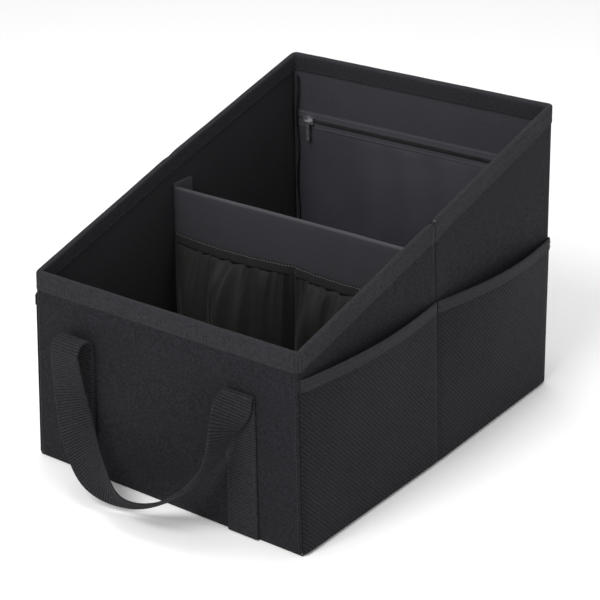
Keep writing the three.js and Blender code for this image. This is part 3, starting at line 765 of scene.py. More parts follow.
def base_panel(name, layer, material):
    low, high, inset, _, rounded = layer

    def place(u, v, w):
        x, y = mix(-1, 1, u) * (HALF_WIDTH - inset), mix(-1, 1, v) * (HALF_DEPTH - inset)
        lift = 0 if rounded else LOOSE_BASE * np.abs(ripple(x, y, 9))
        return settle(x, y, mix(low, high, w) + lift)
    return sheet(name, fine_ends(20), fine_ends(26), place, material)


def line_box(kind, layer, material, seed):
    """One layer all round: a panel for each wall, with a seed of its own, and one for the base."""
    walls = (("front", end_panel, -1), ("back", end_panel, 1),
             ("right", side_panel, 1), ("left", side_panel, -1))
    panels = {}
    for number, (word, build, side) in enumerate(walls):
        panels[word] = build("%s_%s_cloth" % (word, kind), side, layer, material, seed + number)
    panels["base"] = base_panel("base_%s_cloth" % kind, layer, material)
    return panels


shell = line_box("outer", SHELL, outer_cloth, 1)
print("outer cloth:", [item.name for item in made])

# %% [markdown]
# The lining is thinner and softer than the outer cloth, and fits between the corners without turning
# them. The lining on the base lies loose. The one on the back is a little coarser, and its paler
# colour is painted light, standing in for light that the lamps bring too little of to the back wall.

# %% Lining
LINER = (LINING_OUT, LINING_IN, INSIDE_FACE, LINING_OUT, False)
linings = line_box("inner", LINER, lining_cloth, 5)
linings["back"].data.materials[0] = back_lining_cloth
print("lining: 5 sheets, corner to corner %.0f mm" % (2 * (HALF_WIDTH - INSIDE_FACE) / MM))

# %% [markdown]
# A ribbed tape is folded over the rim and runs once round the box. Its section is drawn first: up
# the outside, over a round top, down the inside. The section is then carried along the rim, with a
# small radius at each corner. The tape's two ends meet at the right-hand fold.

# %% Rim tape
RIM_TAPE_HEIGHT, RIM_TAPE_JOINT = 15 * MM, 0.8 * MM
RIM_CORNER = 5 * MM
FOLD_DIP, FOLD_DIP_WIDTH = 1.2 * MM, 5 * MM
TAPE_CROWN = 1.6 * MM
TAPE_EDGE = 0.8
RIM_WAVER = 0.25 * MM


def tape_section(outside, inside, height):
    """Both faces of a folded tape: inset from the face, and rise above the covered edge."""
    down = -height * np.array([1, 0.6, 0.25])
    turn = np.linspace(PI, 0, 10)
    for layer in (PLAY, PLAY + TAPE):
        left, right = outside - layer, inside + layer
        radius = (right - left) / 2
        crown = min(radius, TAPE_CROWN)
        round_top = (left + right) / 2 + radius * np.cos(turn)
        inset = np.concatenate([[left] * 3, round_top, [right] * 3])
        rise = np.concatenate([down, layer - crown + crown * np.sin(turn), down[::-1]])
        yield inset[None], rise[None]


def rim_route():
    """Stations round the rim, from the tape's joint: a centre and an outward direction in plan."""
    x, y, joint = HALF_WIDTH - RIM_CORNER, HALF_DEPTH - RIM_CORNER, RIM_TAPE_JOINT / 2
    turns = np.array([(x, joint), (x, y), (-x, y), (-x, -y), (x, -y), (x, -joint)])
    centres, angles = [], []
    for number, count in enumerate((44, 60, 88, 60, 44)):
        start, stop = turns[number], turns[number + 1]
        centres += [mix(start, stop, t) for t in steps(count)]
        angles += [number * PI / 2] * (count + 1)
        if number < 4:
            bend = np.linspace(number * PI / 2, (number + 1) * PI / 2, 8)[1:-1]
            centres += [stop] * len(bend)
            angles += list(bend)
    return np.array(centres), np.stack([np.cos(angles), np.sin(angles)], 1)


rim_centres, rim_normals = rim_route()


def rim_point(inset, rise):
    """Carries section points (inset, rise) to every station of the rim: (stations, points, 3)."""
    plan = rim_centres[:, None] + rim_normals[:, None] * (RIM_CORNER - inset)[..., None]
    x, y = plan[..., 0], plan[..., 1]
    dip = FOLD_DIP * bell(y, FOLD_DIP_WIDTH) * (np.abs(x) > HALF_WIDTH / 2)
    waver = RIM_WAVER * ripple(x * 2.3, y * 2.3, 11)
    return settle(x, y, rim_height(y) - WALL_TOP_DROP + rise - dip + waver)


def taped_body(name, sides):
    """A folded tape: its ribs run across it, so its UV map is turned."""
    return closed_body(name, sides, binding_tape, TAPE_EDGE, cloth_map(sides[1])[..., ::-1])


rim_section = tape_section(0, LINING_IN, RIM_TAPE_HEIGHT - WALL_TOP_DROP)
rim_tape = taped_body("rim_binding", [rim_point(*face) for face in rim_section])
print("rim tape: %d stations round the rim" % len(rim_centres))

# %% [markdown]
# In each inner corner the seam allowance of the lining is bound with the same tape. It stands off
# the corner as a narrow strip whose free edge waves, as the photograph shows in the back left corner.

# %% Bound seam allowances
SEAM_TAPE_WIDTH, SEAM_TAPE_THICKNESS = 7 * MM, 1.8 * MM
SEAM_WAVE, SEAM_WAVE_LENGTH = 1.1 * MM, 62 * MM
BEAD_START, BEAD_SHARE = 0.75, 0.27
DIAGONAL = math.sqrt(2)


def seam_tape(name, side, end):
    half = SEAM_TAPE_THICKNESS / 2
    rim = rim_height(end * (HALF_DEPTH - INSIDE_FACE))
    high = rim - RIM_TAPE_HEIGHT - SEAM_TAPE_WIDTH / 2

    def place(u, v, w):
        away = LINING_IN + (half + PLAY * DIAGONAL + u * SEAM_TAPE_WIDTH) / DIAGONAL
        z = mix(LINING_IN + PLAY, high, v)
        wave = SEAM_WAVE * u * np.sin(2 * PI * z / SEAM_WAVE_LENGTH)
        rounded = np.sqrt(1 - np.clip((u - BEAD_START) / BEAD_SHARE, 0, 1) ** 2)
        across = (mix(-half, half, w) * rounded + wave) / DIAGONAL
        return settle(side * (HALF_WIDTH - away + across), end * (HALF_DEPTH - away - across), z)
    return sheet(name + "_seam_binding", steps(8), steps(60), place, binding_tape, edge=1.0)


seam_tapes = {"%s_%s" % (end_word, word): seam_tape("%s_%s" % (end_word, word), side, end)
              for end, end_word in ENDS for side, word in SIDES}
print("seam bindings:", len(seam_tapes))

# %% [markdown]
# Each side carries a pocket panel of coarse twill that is sewn down at the corners, the base and the
# fold. That leaves two slack mouths. Their slack follows a sine between the seams and grows towards
# the top, and a folded tape binds each mouth.

# %% Side pockets
POCKET_CLOTH = 0.8 * MM
POCKET_BELOW_RIM, POCKET_BACK_DROP = 20 * MM, 6 * MM
POCKET_FRONT_SLACK, POCKET_REAR_SLACK = 8.5 * MM, 10 * MM
POCKET_TAPE_HEIGHT = 10 * MM
POCKET_SKIN = PLAY + TAPE + PLAY
POCKET_UNEVEN = 0.5 * MM


def mouth_height(y):
    return FRONT_HEIGHT - POCKET_BELOW_RIM - POCKET_BACK_DROP * np.maximum(0, y) / HALF_DEPTH


def pocket_slack(y, z):
    slack = np.where(y < 0, POCKET_FRONT_SLACK, POCKET_REAR_SLACK)
    along = arch(np.minimum(1, np.abs(y) / HALF_DEPTH))
    return slack * along * np.clip(z / mouth_height(y), 0, None) ** 1.4


def pocket_drop(y, z):
    """The pocket follows the rounded corners and foot of the box, and is drawn in by its seams."""
    fold_seam = 0.7 * MM * bell(y, 3 * MM)
    corner_seam = 0.8 * MM * bell(HALF_DEPTH - np.abs(y), 7 * MM)
    return wall_drop(y, HALF_DEPTH, z) + fold_seam + corner_seam


def pocket_panel(name, side):
    def place(u, v, w):
        y = mix(MITRE - HALF_DEPTH, HALF_DEPTH - MITRE, u)
        z = mix(MITRE, mouth_height(y) - WALL_TOP_DROP, v)
        swell = POCKET_UNEVEN * ripple(y, z, 12 + side) * np.abs(arch(2 * u)) * arch(v)
        out = POCKET_SKIN + pocket_slack(y, z) + POCKET_CLOTH * w + swell - pocket_drop(y, z)
        return settle(side * (HALF_WIDTH + out), y, z)
    return sheet(name, fine_fold(90), fine_ends(40), place, pocket_cloth)


def pocket_tape(name, side, end):
    y = end * np.linspace(PLAY * 3, HALF_DEPTH - MITRE, 61)[:, None]
    edge_z = mouth_height(y) - WALL_TOP_DROP
    placed = []
    for inset, rise in tape_section(-POCKET_CLOTH, 0, POCKET_TAPE_HEIGHT - WALL_TOP_DROP):
        slack = pocket_slack(y, edge_z + np.minimum(0, rise))
        out = POCKET_SKIN + slack - inset - pocket_drop(y, edge_z + rise)
        placed.append(settle(side * (HALF_WIDTH + out), y, edge_z + rise))
    return taped_body(name, placed)


pocket_panels, pocket_tapes = {}, {}
for side, word in SIDES:
    pocket_panels[word] = pocket_panel(word + "_pocket_cloth", side)
    for end, place_word in ((-1, "front"), (1, "rear")):
        key = word + "_" + place_word
        pocket_tapes[key] = pocket_tape(key + "_pocket_binding", side, end)
print("side pockets: 2 panels,", len(pocket_tapes), "mouth bindings")

# %% [markdown]
# The webbing handles are thick ribbed straps. Each is sewn flat to its wall, folds out near the rim
# and hangs as a free loop. The left fold is soft and round, the right one is creased. The loop runs
# through a short table of stations that a smooth curve joins. The last value of a station turns the
# strap about its own run: at -90 degrees it lies flat along the wall, at 0 it stands straight out.
# The ribs are real: the surface rises and falls, because that relief shows at the strap's edges.

# %% Course of the webbing
WEBBING_WIDTH, WEBBING = 30 * MM, 1.6 * MM
HANDLE_HEM = 1 * MM
SOFT_FOLD, CREASED_FOLD = 9.8 * MM, 1.8 * MM
SEAT = PLAY + WEBBING / 2
RIB_PITCH, RIB_DEPTH = 2.3 * MM, 0.5 * MM
STEPS_PER_RIB = 6
TURN_SMOOTHING = 60
LOOP = np.array([
    # across the box, out from the wall and height in mm, turn in degrees
    (-87.5, 20.7, 115.3, -90), (-84.6, 17.5, 78.7, -104), (-69.8, 24.2, 49.2, -118),
    (-42.9, 36.3, 28.6, -105), (-7.9, 39.6, 17.9, -51), (23.3, 35.9, 24.2, -18),
    (50.6, 29.4, 43.0, -3), (71.5, 23.3, 70.6, 3), (80.3, 17.2, 100.0, -22),
    (82.5, 4.7, 120.4, -90),
])


def unit(vectors):
    return vectors / np.linalg.norm(vectors, axis=-1, keepdims=True)


def through(rows, share):
    """A Catmull-Rom curve through evenly spaced rows of values; share runs from 0 to 1."""
    count = len(rows) - 1
    span = np.clip(np.floor(share * count).astype(int), 0, count - 1)
    t = (share * count - span)[:, None]
    rows = np.concatenate([[2 * rows[0] - rows[1]], rows, [2 * rows[-1] - rows[-2]]])
    a, b, c, d = (rows[span + i] for i in range(4))
    return 0.5 * (2 * b + (c - a) * t + (2 * a - 5 * b + 4 * c - d) * t ** 2
                  + (3 * b - a - 3 * c + d) * t ** 3)


def strap_leg(x, top, radius):
    """The sewn part of one leg, from its hem up, and its fold; x, distance out and height."""
    rise = steps(69)[:-1]
    turn = np.linspace(0, PI, 25)
    out = np.concatenate([0 * rise, radius * (1 - np.cos(turn))])
    height = np.concatenate([mix(HANDLE_HEM, top, rise), top + radius * np.sin(turn)])
    return np.stack([x + 0 * out, SEAT + out, height], 1)


def strap_frames():
    """Centre, across and face directions at even stations along the whole strap, and its length."""
    free = through(LOOP * [MM, MM, MM, 1], steps(300))
    left = strap_leg(free[0, 0], free[0, 2], SOFT_FOLD)
    right = strap_leg(free[-1, 0], free[-1, 2], CREASED_FOLD)[::-1]
    points = np.concatenate([left, free[1:-1, :3], right]) * [1, -1, 1]
    along = unit(np.gradient(points, axis=0))
    across = np.zeros_like(points)
    across[:len(left)], across[-len(right):] = (1, 0, 0), (-1, 0, 0)
    inside = slice(len(left), -len(right))
    upright = unit([0, -1, 0] + along[inside] * along[inside, 1:2])
    turn = np.radians(free[1:-1, 3:])
    across[inside] = np.cos(turn) * upright + np.sin(turn) * np.cross(along[inside], upright)
    length = np.concatenate([[0], np.cumsum(np.linalg.norm(np.diff(points, axis=0), axis=1))])
    even = np.linspace(0, length[-1], int(length[-1] / (RIB_PITCH / STEPS_PER_RIB)))
    points, across = (np.stack([np.interp(even, length, part[:, i]) for i in range(3)], 1)
                      for part in (points, across))
    for _ in range(TURN_SMOOTHING):
        across[1:-1] = unit(across[:-2] + 2 * across[1:-1] + across[2:])
    along = unit(np.gradient(points, axis=0))
    across = unit(across - (across * along).sum(1)[:, None] * along)
    return points, across, np.cross(along, across), even


strap_points, strap_across, strap_face, strap_run = strap_frames()
print("handles: %.0f mm of webbing each" % (strap_run[-1] / MM))

# %% [markdown]
# A strap is then laid along that course, with thicker and thinner places at every rib, softly
# rounded edges and a slight waver. The back handle is the same strap, turned to the other wall.

# %% Webbing handles
EDGE_START, EDGE_SHARE = 0.93, 0.075
STRAP_WAVER = 0.18 * MM


def at_wall(end, spot):
    return settle(spot[..., 0], -end * (spot[..., 1] - HALF_DEPTH), spot[..., 2])


def webbing_strap(name, end):
    v = np.concatenate([[-1, -0.985, -0.95], np.linspace(-0.88, 0.88, 17), [0.95, 0.985, 1]])
    past = np.clip(np.abs(v) - EDGE_START, 0, None) / EDGE_SHARE
    edge_round = np.sqrt(np.clip(1 - past ** 2, 0.08, 1))
    run = strap_run[:, None]
    waver = STRAP_WAVER * ripple(run * 1.5, 0.1 * end, 21)[..., None]
    cord = 0.5 + 0.12 * np.sin(9 * v) * np.sin(run * 130)
    rib = RIB_DEPTH * (np.abs(arch(run / RIB_PITCH + 0.25 * cord / PI)) - 0.6)
    half = ((WEBBING / 2 + rib) * edge_round)[..., None]
    shift = v[None, :, None] * WEBBING_WIDTH / 2 + waver * 0.6
    middle = strap_points[:, None] + strap_across[:, None] * shift
    placed = [at_wall(end, middle + strap_face[:, None] * (w * half)) for w in (-1, 1)]
    cloth = np.stack(np.broadcast_arrays(v * WEBBING_WIDTH / 2, run), -1)
    return closed_body(name, placed, webbing, 1.0, cloth)


handles = {word: webbing_strap(word + "_webbing_handle", end) for end, word in ENDS}
print("handles:", sorted(handles))

# %% [markdown]
# The divider is a board in a satin cover that is folded over its top edge. Flanges of the same cloth
# turn off both its ends and press onto hook-and-loop strips on the side walls.

# %% Divider
DIVIDER_TOP = (FRONT_HEIGHT + BACK_HEIGHT) / 2 - 28 * MM
DIVIDER_BOARD, DIVIDER_CLOTH = 2.5 * MM, 0.7 * MM
STRIP_WIDTH, STRIP = 22 * MM, 1.2 * MM
STRIP_TOP, STRIP_FOOT = DIVIDER_TOP + 2 * MM, 6 * MM
FLANGE_BEND = 3.5 * MM
DIVIDER_HALF = DIVIDER_BOARD / 2 + PLAY + DIVIDER_CLOTH
FLANGE_OUT = INSIDE_FACE + STRIP + PLAY
DIVIDER_REACH = HALF_WIDTH - FLANGE_OUT - STRIP - PLAY


def divider_cover():
    """One folded sheet, from the front foot over the top to the back foot."""
    turn = np.linspace(0, PI, 13)[1:-1]
    straight = DIVIDER_TOP - DIVIDER_HALF
    flank = mix(INSIDE_FACE, straight, steps(39))
    path_y = np.concatenate([0 * flank - 1, -np.cos(turn), 0 * flank + 1])
    path_z = np.concatenate([flank, 0 * turn + straight, flank[::-1]])
    lift = np.concatenate([0 * flank, np.sin(turn), 0 * flank])
    x = np.linspace(-DIVIDER_REACH, DIVIDER_REACH, 71)[:, None]
    top_dip = 0.5 * MM * ripple(x, 0, 23) * path_z / DIVIDER_TOP
    slack = np.clip(ripple(x, path_z, 24) + 0.4, 0, None) * arch((x / DIVIDER_REACH + 1) / 2)
    swell = 0.45 * MM * slack * (1 - lift)
    placed = [settle(x, path_y * (half + swell), path_z + lift * half + top_dip)
              for half in (DIVIDER_HALF - DIVIDER_CLOTH, DIVIDER_HALF)]
    return closed_body("divider_satin_cover", placed, satin)


def loop_strip(word, side):
    def place(u, v, w):
        y, z = mix(0, STRIP_WIDTH, u), mix(STRIP_FOOT, STRIP_TOP, v)
        swell = 0.15 * MM * np.abs(ripple(y * 3, z, 30 + side)) * arch(u)
        return settle(side * (HALF_WIDTH - INSIDE_FACE - STRIP * w - swell), y, z)
    return sheet(word + "_loop_strip", steps(14), steps(60), place, hook_and_loop, edge=0.6)


def flange(word, side):
    """The cover's end flap: it lies on the strip and bends towards the divider."""
    def place(u, v, w):
        y, z = mix(-DIVIDER_HALF, STRIP_WIDTH, u), mix(INSIDE_FACE, STRIP_TOP, v)
        lift = 0.54 * MM * smooth(u, 0.8, 1) * smooth(v, 0.6, 1)
        lift = lift + 0.18 * MM * np.abs(ripple(y * 2, z, 31 + side))
        turned = 0.18 * MM * np.clip(1 - (y + DIVIDER_HALF) / FLANGE_BEND, 0, 1) ** 2
        return settle(side * (HALF_WIDTH - FLANGE_OUT - STRIP * w - lift + turned), y, z)
    return sheet(word + "_satin_flange", steps(18), steps(50), place, satin)


divider_cloth = divider_cover()
strips, flanges = {}, {}
for side, word in SIDES:
    strips[word], flanges[word] = loop_strip(word, side), flange(word, side)
print("divider cover, 2 strips, 2 flanges")

# %% [markdown]
# A net pouch hangs on the divider's front. Its elastic mouth gathers the net into soft pleats that
# fade towards the bottom. Pleats that all had one width would look machined, so their spacing drifts.

# %% Net pouch
NET, ELASTIC, ELASTIC_HEIGHT = 0.6 * MM, 1.4 * MM, 9 * MM
POUCH_TOP, POUCH_FOOT = DIVIDER_TOP - 41 * MM, 14 * MM
POUCH_BULGE, POUCH_MOUTH_SLACK = 19 * MM, 8 * MM
GATHERS, GATHER_DEPTH, PLEAT_DEPTH = 8, 2.4 * MM, 2.6 * MM
PUFF_DRIFT = 22 * MM
PUFFS = (  # middle, width and depth in mm
    (-115, 15, 8), (-66, 15, 18), (-24, 11, 6), (34, 13, 15), (62, 9, 8), (104, 16, 13))
POUCH_ROOT = DIVIDER_HALF + PLAY


def pouch_depth(x, rise, gathered=1.0):
    along = np.minimum(1, np.abs(x) / DIVIDER_REACH)
    pinned = np.clip(arch(along), 0, None) ** 0.7
    gather = (1 - np.cos(2 * PI * GATHERS * along)) / 2
    depth = pinned * (POUCH_BULGE * arch(rise ** 0.8) + POUCH_MOUTH_SLACK * rise)
    return depth + gathered * GATHER_DEPTH * gather * np.sin(PI / 2 * rise)


def fine_pleats(x, rise):
    """Small uneven pleats below the elastic, strongest near it."""
    phase = x / (11 * MM) + 1.1 * np.sin(x / (37 * MM)) + 0.5 * np.sin(x / (15 * MM))
    return PLEAT_DEPTH * (1 - np.abs(arch(phase))) * rise ** 2


def puffs(x, rise):
    """Wider folds that stand out below the elastic and slant as they run down."""
    fall = 1 - rise
    return arch(fall ** 0.6) * sum(
        depth * MM * bell(x - middle * MM + PUFF_DRIFT * fall * np.sign(middle), width * MM)
        for middle, width, depth in PUFFS)


def held(x):
    """1 where the pouch hangs free, fading to 0 at its ends and at the seam in its middle."""
    return smooth(np.abs(x) / DIVIDER_REACH, 1, 0.94) * smooth(np.abs(x), 0, 5 * MM)


def net_place(u, v, w):
    x = mix(-DIVIDER_REACH, DIVIDER_REACH, u)
    z = mix(POUCH_FOOT, POUCH_TOP - ELASTIC_HEIGHT - PLAY, v)
    uneven = 0.5 * MM * ripple(x, z, 35) * arch(v)
    depth = pouch_depth(x, v) + (fine_pleats(x, v) + puffs(x, v) + uneven) * held(x)
    return settle(x, -(POUCH_ROOT + np.maximum(depth, 0) + 0.4 * MM + NET * w), z)


def elastic_place(u, v, w):
    x = mix(-DIVIDER_REACH, DIVIDER_REACH, u)
    rolled = 0.35 + 0.65 * arch(v) ** 0.5
    waver = 0.2 * MM * np.sin(x / (4.1 * MM) + 0.8 * np.sin(x / (17 * MM))) * held(x)
    z = mix(POUCH_TOP - ELASTIC_HEIGHT, POUCH_TOP, v) + 0.4 * MM * ripple(x * 1.3, 0, 37) * held(x)
    out = pouch_depth(x, 0.999, 0.3) * mix(1, 0.85, v) + ELASTIC * (0.5 + (w - 0.5) * rolled)
    return settle(x, -(POUCH_ROOT + out + waver), z)


pouch_net = sheet("pouch_net", steps(360), steps(56), net_place, net, edge=0.9)
pouch_elastic = sheet("pouch_elastic_band", steps(240), steps(10), elastic_place, elastic, edge=0.9)
print("pouch: net and elastic, %d gathers a side" % GATHERS)

# %% [markdown]
# The back wall carries a zipped pocket: two woven zip tapes over the lining, and a satin panel that
# hangs below them to the base and bulges out a little.

# %% Zip tapes and satin panel
ZIP_HEIGHT = BACK_HEIGHT - 62 * MM
ZIP_TAPE_REACH, ZIP_SLIT = 8 * MM, 2 * MM
SATIN, SATIN_BULGE = 0.7 * MM, 8 * MM
PANEL_REACH = HALF_WIDTH - LINING_IN - SEAM_TAPE_THICKNESS - 1.2 * MM
PANEL_TOP = ZIP_HEIGHT - ZIP_TAPE_REACH - PLAY


def zip_tape(name, low, high):
    def place(u, v, w):
        x, z = mix(-PANEL_REACH, PANEL_REACH, u), ZIP_HEIGHT + mix(low, high, v)
        return settle(x, HALF_DEPTH - INSIDE_FACE - TAPE * w, z + 0.25 * MM * ripple(x, 0, 41))
    return sheet(name, steps(120), steps(6), place, zip_cloth, edge=0.8)


def satin_place(u, v, w):
    x, z = mix(-PANEL_REACH, PANEL_REACH, u), mix(INSIDE_FACE, PANEL_TOP, v)
    billow = SATIN_BULGE * arch(u ** 0.8) ** 0.8 * arch(v) ** 1.5
    folds = 0.9 * np.sin(2 * PI * (x / (82 * MM) + 0.4 * v + 0.7 * np.sin(x / (70 * MM))))
    swell = billow + (folds + 1.2 + ripple(x, z, 43)) * MM * arch(u) * arch(v) ** 0.6
    return settle(x, HALF_DEPTH - INSIDE_FACE - SATIN * w - np.maximum(swell, 0), z)


upper_zip_tape = zip_tape("zip_tape_upper", ZIP_SLIT / 2, ZIP_TAPE_REACH)
lower_zip_tape = zip_tape("zip_tape_lower", -ZIP_TAPE_REACH, -ZIP_SLIT / 2)
satin_panel = sheet("satin_pocket_panel", steps(110), steps(60), satin_place, panel_satin)
print("satin panel: %.0f mm high" % ((PANEL_TOP - INSIDE_FACE) / MM))

# %% [markdown]
# Stitches repeat hundreds of times, so Geometry Nodes lay them. The input is a mesh of plain lines
# that follow the seams. The tree resamples each line to the stitch length, sets one small rounded
# stitch on every point and turns it to follow the line. A fixed seed makes each lie a little
# differently. The result is baked to a plain mesh, so nothing is left to compute later.

# %% Geometry nodes for stitches
STITCH_LENGTH, STITCH_SHARE = 3.0 * MM, 0.72
THREAD_RADIUS = 0.27 * MM
STITCH_SEED, STITCH_WOBBLE = 7, 0.06


def build_bead_rows():
    """Sets a rounded bead on every step of every line, alternately shifted to either side."""
    sizes = {"Pitch": STITCH_LENGTH, "Length": STITCH_LENGTH, "Thickness": THREAD_RADIUS,
             "Width": THREAD_RADIUS, "Shift": 0.0, "Lean": 0.0}
    inputs = [("Geometry", GEOMETRY, None)] + [(title, FLOAT, sizes[title]) for title in sizes]
    inputs += [("Seed", "NodeSocketInt", STITCH_SEED), ("Material", "NodeSocketMaterial", None)]
    tree, given, result, calc = new_group(
        "bead_rows", inputs, ["Geometry"], "GeometryNodeTree", GEOMETRY)
    line = put(tree, "GeometryNodeMeshToCurve", Mesh=given["Geometry"])[0]
    even = put(tree, "GeometryNodeResampleCurve", {"mode": "LENGTH"}, Curve=line,
               Length=given["Pitch"])[0]
    tangent = put(tree, "GeometryNodeInputTangent")[0]
    turned = put(tree, "FunctionNodeAlignRotationToVector", {"axis": "X"}, Vector=tangent)[0]
    odd = calc("FLOORED_MODULO", put(tree, "GeometryNodeInputIndex")[0], 2.0)
    swap = calc("MULTIPLY_ADD", odd, 2.0, -1.0)
    wobble = put(tree, "FunctionNodeRandomValue", {"data_type": "FLOAT"}, in2=-STITCH_WOBBLE,
                 in3=STITCH_WOBBLE, Seed=given["Seed"])[1]
    lean = calc("MULTIPLY_ADD", given["Lean"], swap, wobble)
    tilt = put(tree, "ShaderNodeCombineXYZ", Y=lean)[0]
    tilt = put(tree, "FunctionNodeEulerToRotation", in0=tilt)[0]
    local = put(tree, "FunctionNodeRotateRotation", {"rotation_space": "LOCAL"}, Rotation=turned,
                Rotate_By=tilt)[0]
    bead = put(tree, "GeometryNodeMeshUVSphere", Segments=8, Rings=6, Radius=0.5)[0]
    size = put(tree, "ShaderNodeCombineXYZ", X=given["Length"], Y=given["Thickness"],
               Z=given["Width"])[0]
    beads = put(tree, "GeometryNodeInstanceOnPoints", Points=even, Instance=bead, Rotation=local,
                Scale=size)[0]
    shift = put(tree, "ShaderNodeCombineXYZ", Z=calc("MULTIPLY", given["Shift"], swap))[0]
    moved = put(tree, "GeometryNodeTranslateInstances", Instances=beads, Translation=shift,
                Local_Space=False)[0]
    real = put(tree, "GeometryNodeRealizeInstances", Geometry=moved)[0]
    rounded = put(tree, "GeometryNodeSetShadeSmooth", Geometry=real)[0]
    feed(result, Geometry=put(tree, "GeometryNodeSetMaterial", Geometry=rounded,
                              Material=given["Material"])[0])
    return tree


bead_rows = build_bead_rows()
sockets = {item.name: item.identifier for item in bead_rows.interface.items_tree
           if item.in_out == "INPUT"}


def lay_beads(name, lines, material, **values):
    """Bakes beads along a list of polylines (arrays of points) into one plain mesh object."""
    edges, start = [], 0
    for line in lines:
        edges.extend((start + i, start + i + 1) for i in range(len(line) - 1))
        start += len(line)
    guide = add_object(name + "_guide", bpy.data.meshes.new(name + "_lines"))
    guide.data.from_pydata(np.concatenate(lines).tolist(), edges, [])
    layer = guide.modifiers.new("beads", "NODES")
    layer.node_group = bead_rows
    for key, value in {"Material": material, **values}.items():
        layer[sockets[key]] = value
    evaluated = guide.evaluated_get(bpy.context.evaluated_depsgraph_get())
    mesh = bpy.data.meshes.new_from_object(evaluated)
    mesh.name = name
    bpy.data.objects.remove(guide)
    made.append(add_object(name, mesh))
    return made[-1]


print("geometry nodes:", bead_rows.name)

# %% [markdown]
# Each seam line is found from the same formulas as the cloth below it, just proud of its surface.
# The tape on the rim is sewn through, so it shows a line on both faces. Handles have stitches down
# both edges, and the box's upright corners carry a line beside the seam.

# %% Stitch lines
STITCH_PROUD = 0.08 * MM
SEWN_SHARE = 0.84


def rim_line(inset):
    rise = WALL_TOP_DROP + 2.2 * MM - RIM_TAPE_HEIGHT
    return rim_point(np.array([[inset]]), rise)[:, 0]


def on_pocket(side, y, z, proud):
    """Points on a side pocket, this far proud of its cloth."""
    out = POCKET_SKIN + pocket_slack(y, z) + POCKET_CLOTH + proud - pocket_drop(y, z)
    return settle(side * (HALF_WIDTH + out), y, z)


def strap_line(end, start, stop, share):
    """A line down one leg of a strap, this share of the way from its middle to its edge."""
    place = np.interp(np.linspace(start, stop, 60), strap_run, np.arange(len(strap_run)))
    pick = np.round(place).astype(int)
    spot = strap_points[pick] + strap_across[pick] * share * WEBBING_WIDTH / 2
    return at_wall(end, spot - strap_face[pick] * (WEBBING / 2 + STITCH_PROUD))


def sew(name, lines, material, thickness):
    return lay_beads(name, lines, material, Pitch=STITCH_LENGTH, Thickness=thickness,
                     Length=STITCH_LENGTH * STITCH_SHARE, Width=thickness)


tape_face = PLAY + TAPE + STITCH_PROUD
rows = [rim_line(-tape_face), rim_line(LINING_IN + tape_face)]
corners = [(side, end) for side in (-1, 1) for end in (-1, 1)]
for side, end in corners:
    y = end * np.linspace(4 * MM, HALF_DEPTH - 3 * MM, 90)
    z = mouth_height(y) - WALL_TOP_DROP
    rows += [on_pocket(side, y, z - below, tape_face) for below in (2.4 * MM, 7.2 * MM)]
for side, end in corners:
    z = np.linspace(6 * MM, rim_height(end * HALF_DEPTH) - RIM_TAPE_HEIGHT - 2 * MM, 60)
    rows.append(settle(side * (HALF_WIDTH - 4 * MM), end * (HALF_DEPTH + STITCH_PROUD), z))
z = np.linspace(3 * MM, mouth_height(0) - POCKET_TAPE_HEIGHT - 2 * MM, 50)
rows += [on_pocket(side, y, z, STITCH_PROUD) for side in (-1, 1) for y in (-2.2 * MM, 2.2 * MM)]
sewn, whole = LOOP[0, 2] * MM - 4 * MM, strap_run[-1]
legs = ((3 * MM, sewn), (whole - sewn, whole - 3 * MM))
rows += [strap_line(end, *leg, share) for end in (-1, 1) for leg in legs
         for share in (-SEWN_SHARE, SEWN_SHARE)]
stitches = sew("seam_stitches", rows, hard["thread"], 2 * THREAD_RADIUS)

zip_x = 0.985 * np.linspace(2 * MM - DIVIDER_REACH, DIVIDER_REACH - 2 * MM, 80)
zip_y = HALF_DEPTH - INSIDE_FACE - TAPE - STITCH_PROUD
from_edge = ZIP_TAPE_REACH - 1.4 * MM
pale_rows = [settle(zip_x, zip_y, ZIP_HEIGHT + z) for z in (from_edge, -from_edge)]
elastic_row = elastic_place(np.linspace(0.01, 0.99, 160), 0.86, 1.0) - [0, STITCH_PROUD, 0]
pale_stitches = sew("pale_stitches", pale_rows + [elastic_row], hard["pale_thread"],
                    2.4 * THREAD_RADIUS)
print("stitches: %d lines, %d faces" % (len(rows), len(stitches.data.polygons)))

# %% [markdown]
# The zip is closed, so its two coils mesh. The same tree lays them: beads across the gap at a short
# pitch, every second one shifted and leaned the other way, which is how the turns of two coils
# interlock.

# %% Zip coil
CHAIN_WIDTH, CHAIN_THICKNESS, CHAIN_REACH = 4.2 * MM, 1.6 * MM, 122 * MM
COIL_PITCH = 0.85 * MM

chain_y = HALF_DEPTH - INSIDE_FACE - TAPE - PLAY - CHAIN_THICKNESS / 2
coil_x = np.linspace(COIL_PITCH - CHAIN_REACH, CHAIN_REACH - COIL_PITCH, 120)
coil_teeth = lay_beads(
    "zip_coil_teeth", [settle(coil_x, chain_y, ZIP_HEIGHT)], hard["zip_coil"], Pitch=COIL_PITCH,
    Length=COIL_PITCH * 1.15, Thickness=CHAIN_THICKNESS * 0.94, Width=CHAIN_WIDTH * 0.62,
    Shift=CHAIN_WIDTH * 0.17, Lean=0.22)
print("zip coil: %d teeth" % round(2 * CHAIN_REACH / COIL_PITCH))

# %% [markdown]
# Last, every piece is told which CAD solids it stands for, which body it moves with and which
# finish of the record it takes. Sheets of cloth also state the size they were cut to.

# %% Hand over to the frame
SLOPING_SHARE = 0.82
sheets = []


def stand_for(item, node, slot):
    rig.replaces(item, node)
    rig.slot(item, slot)


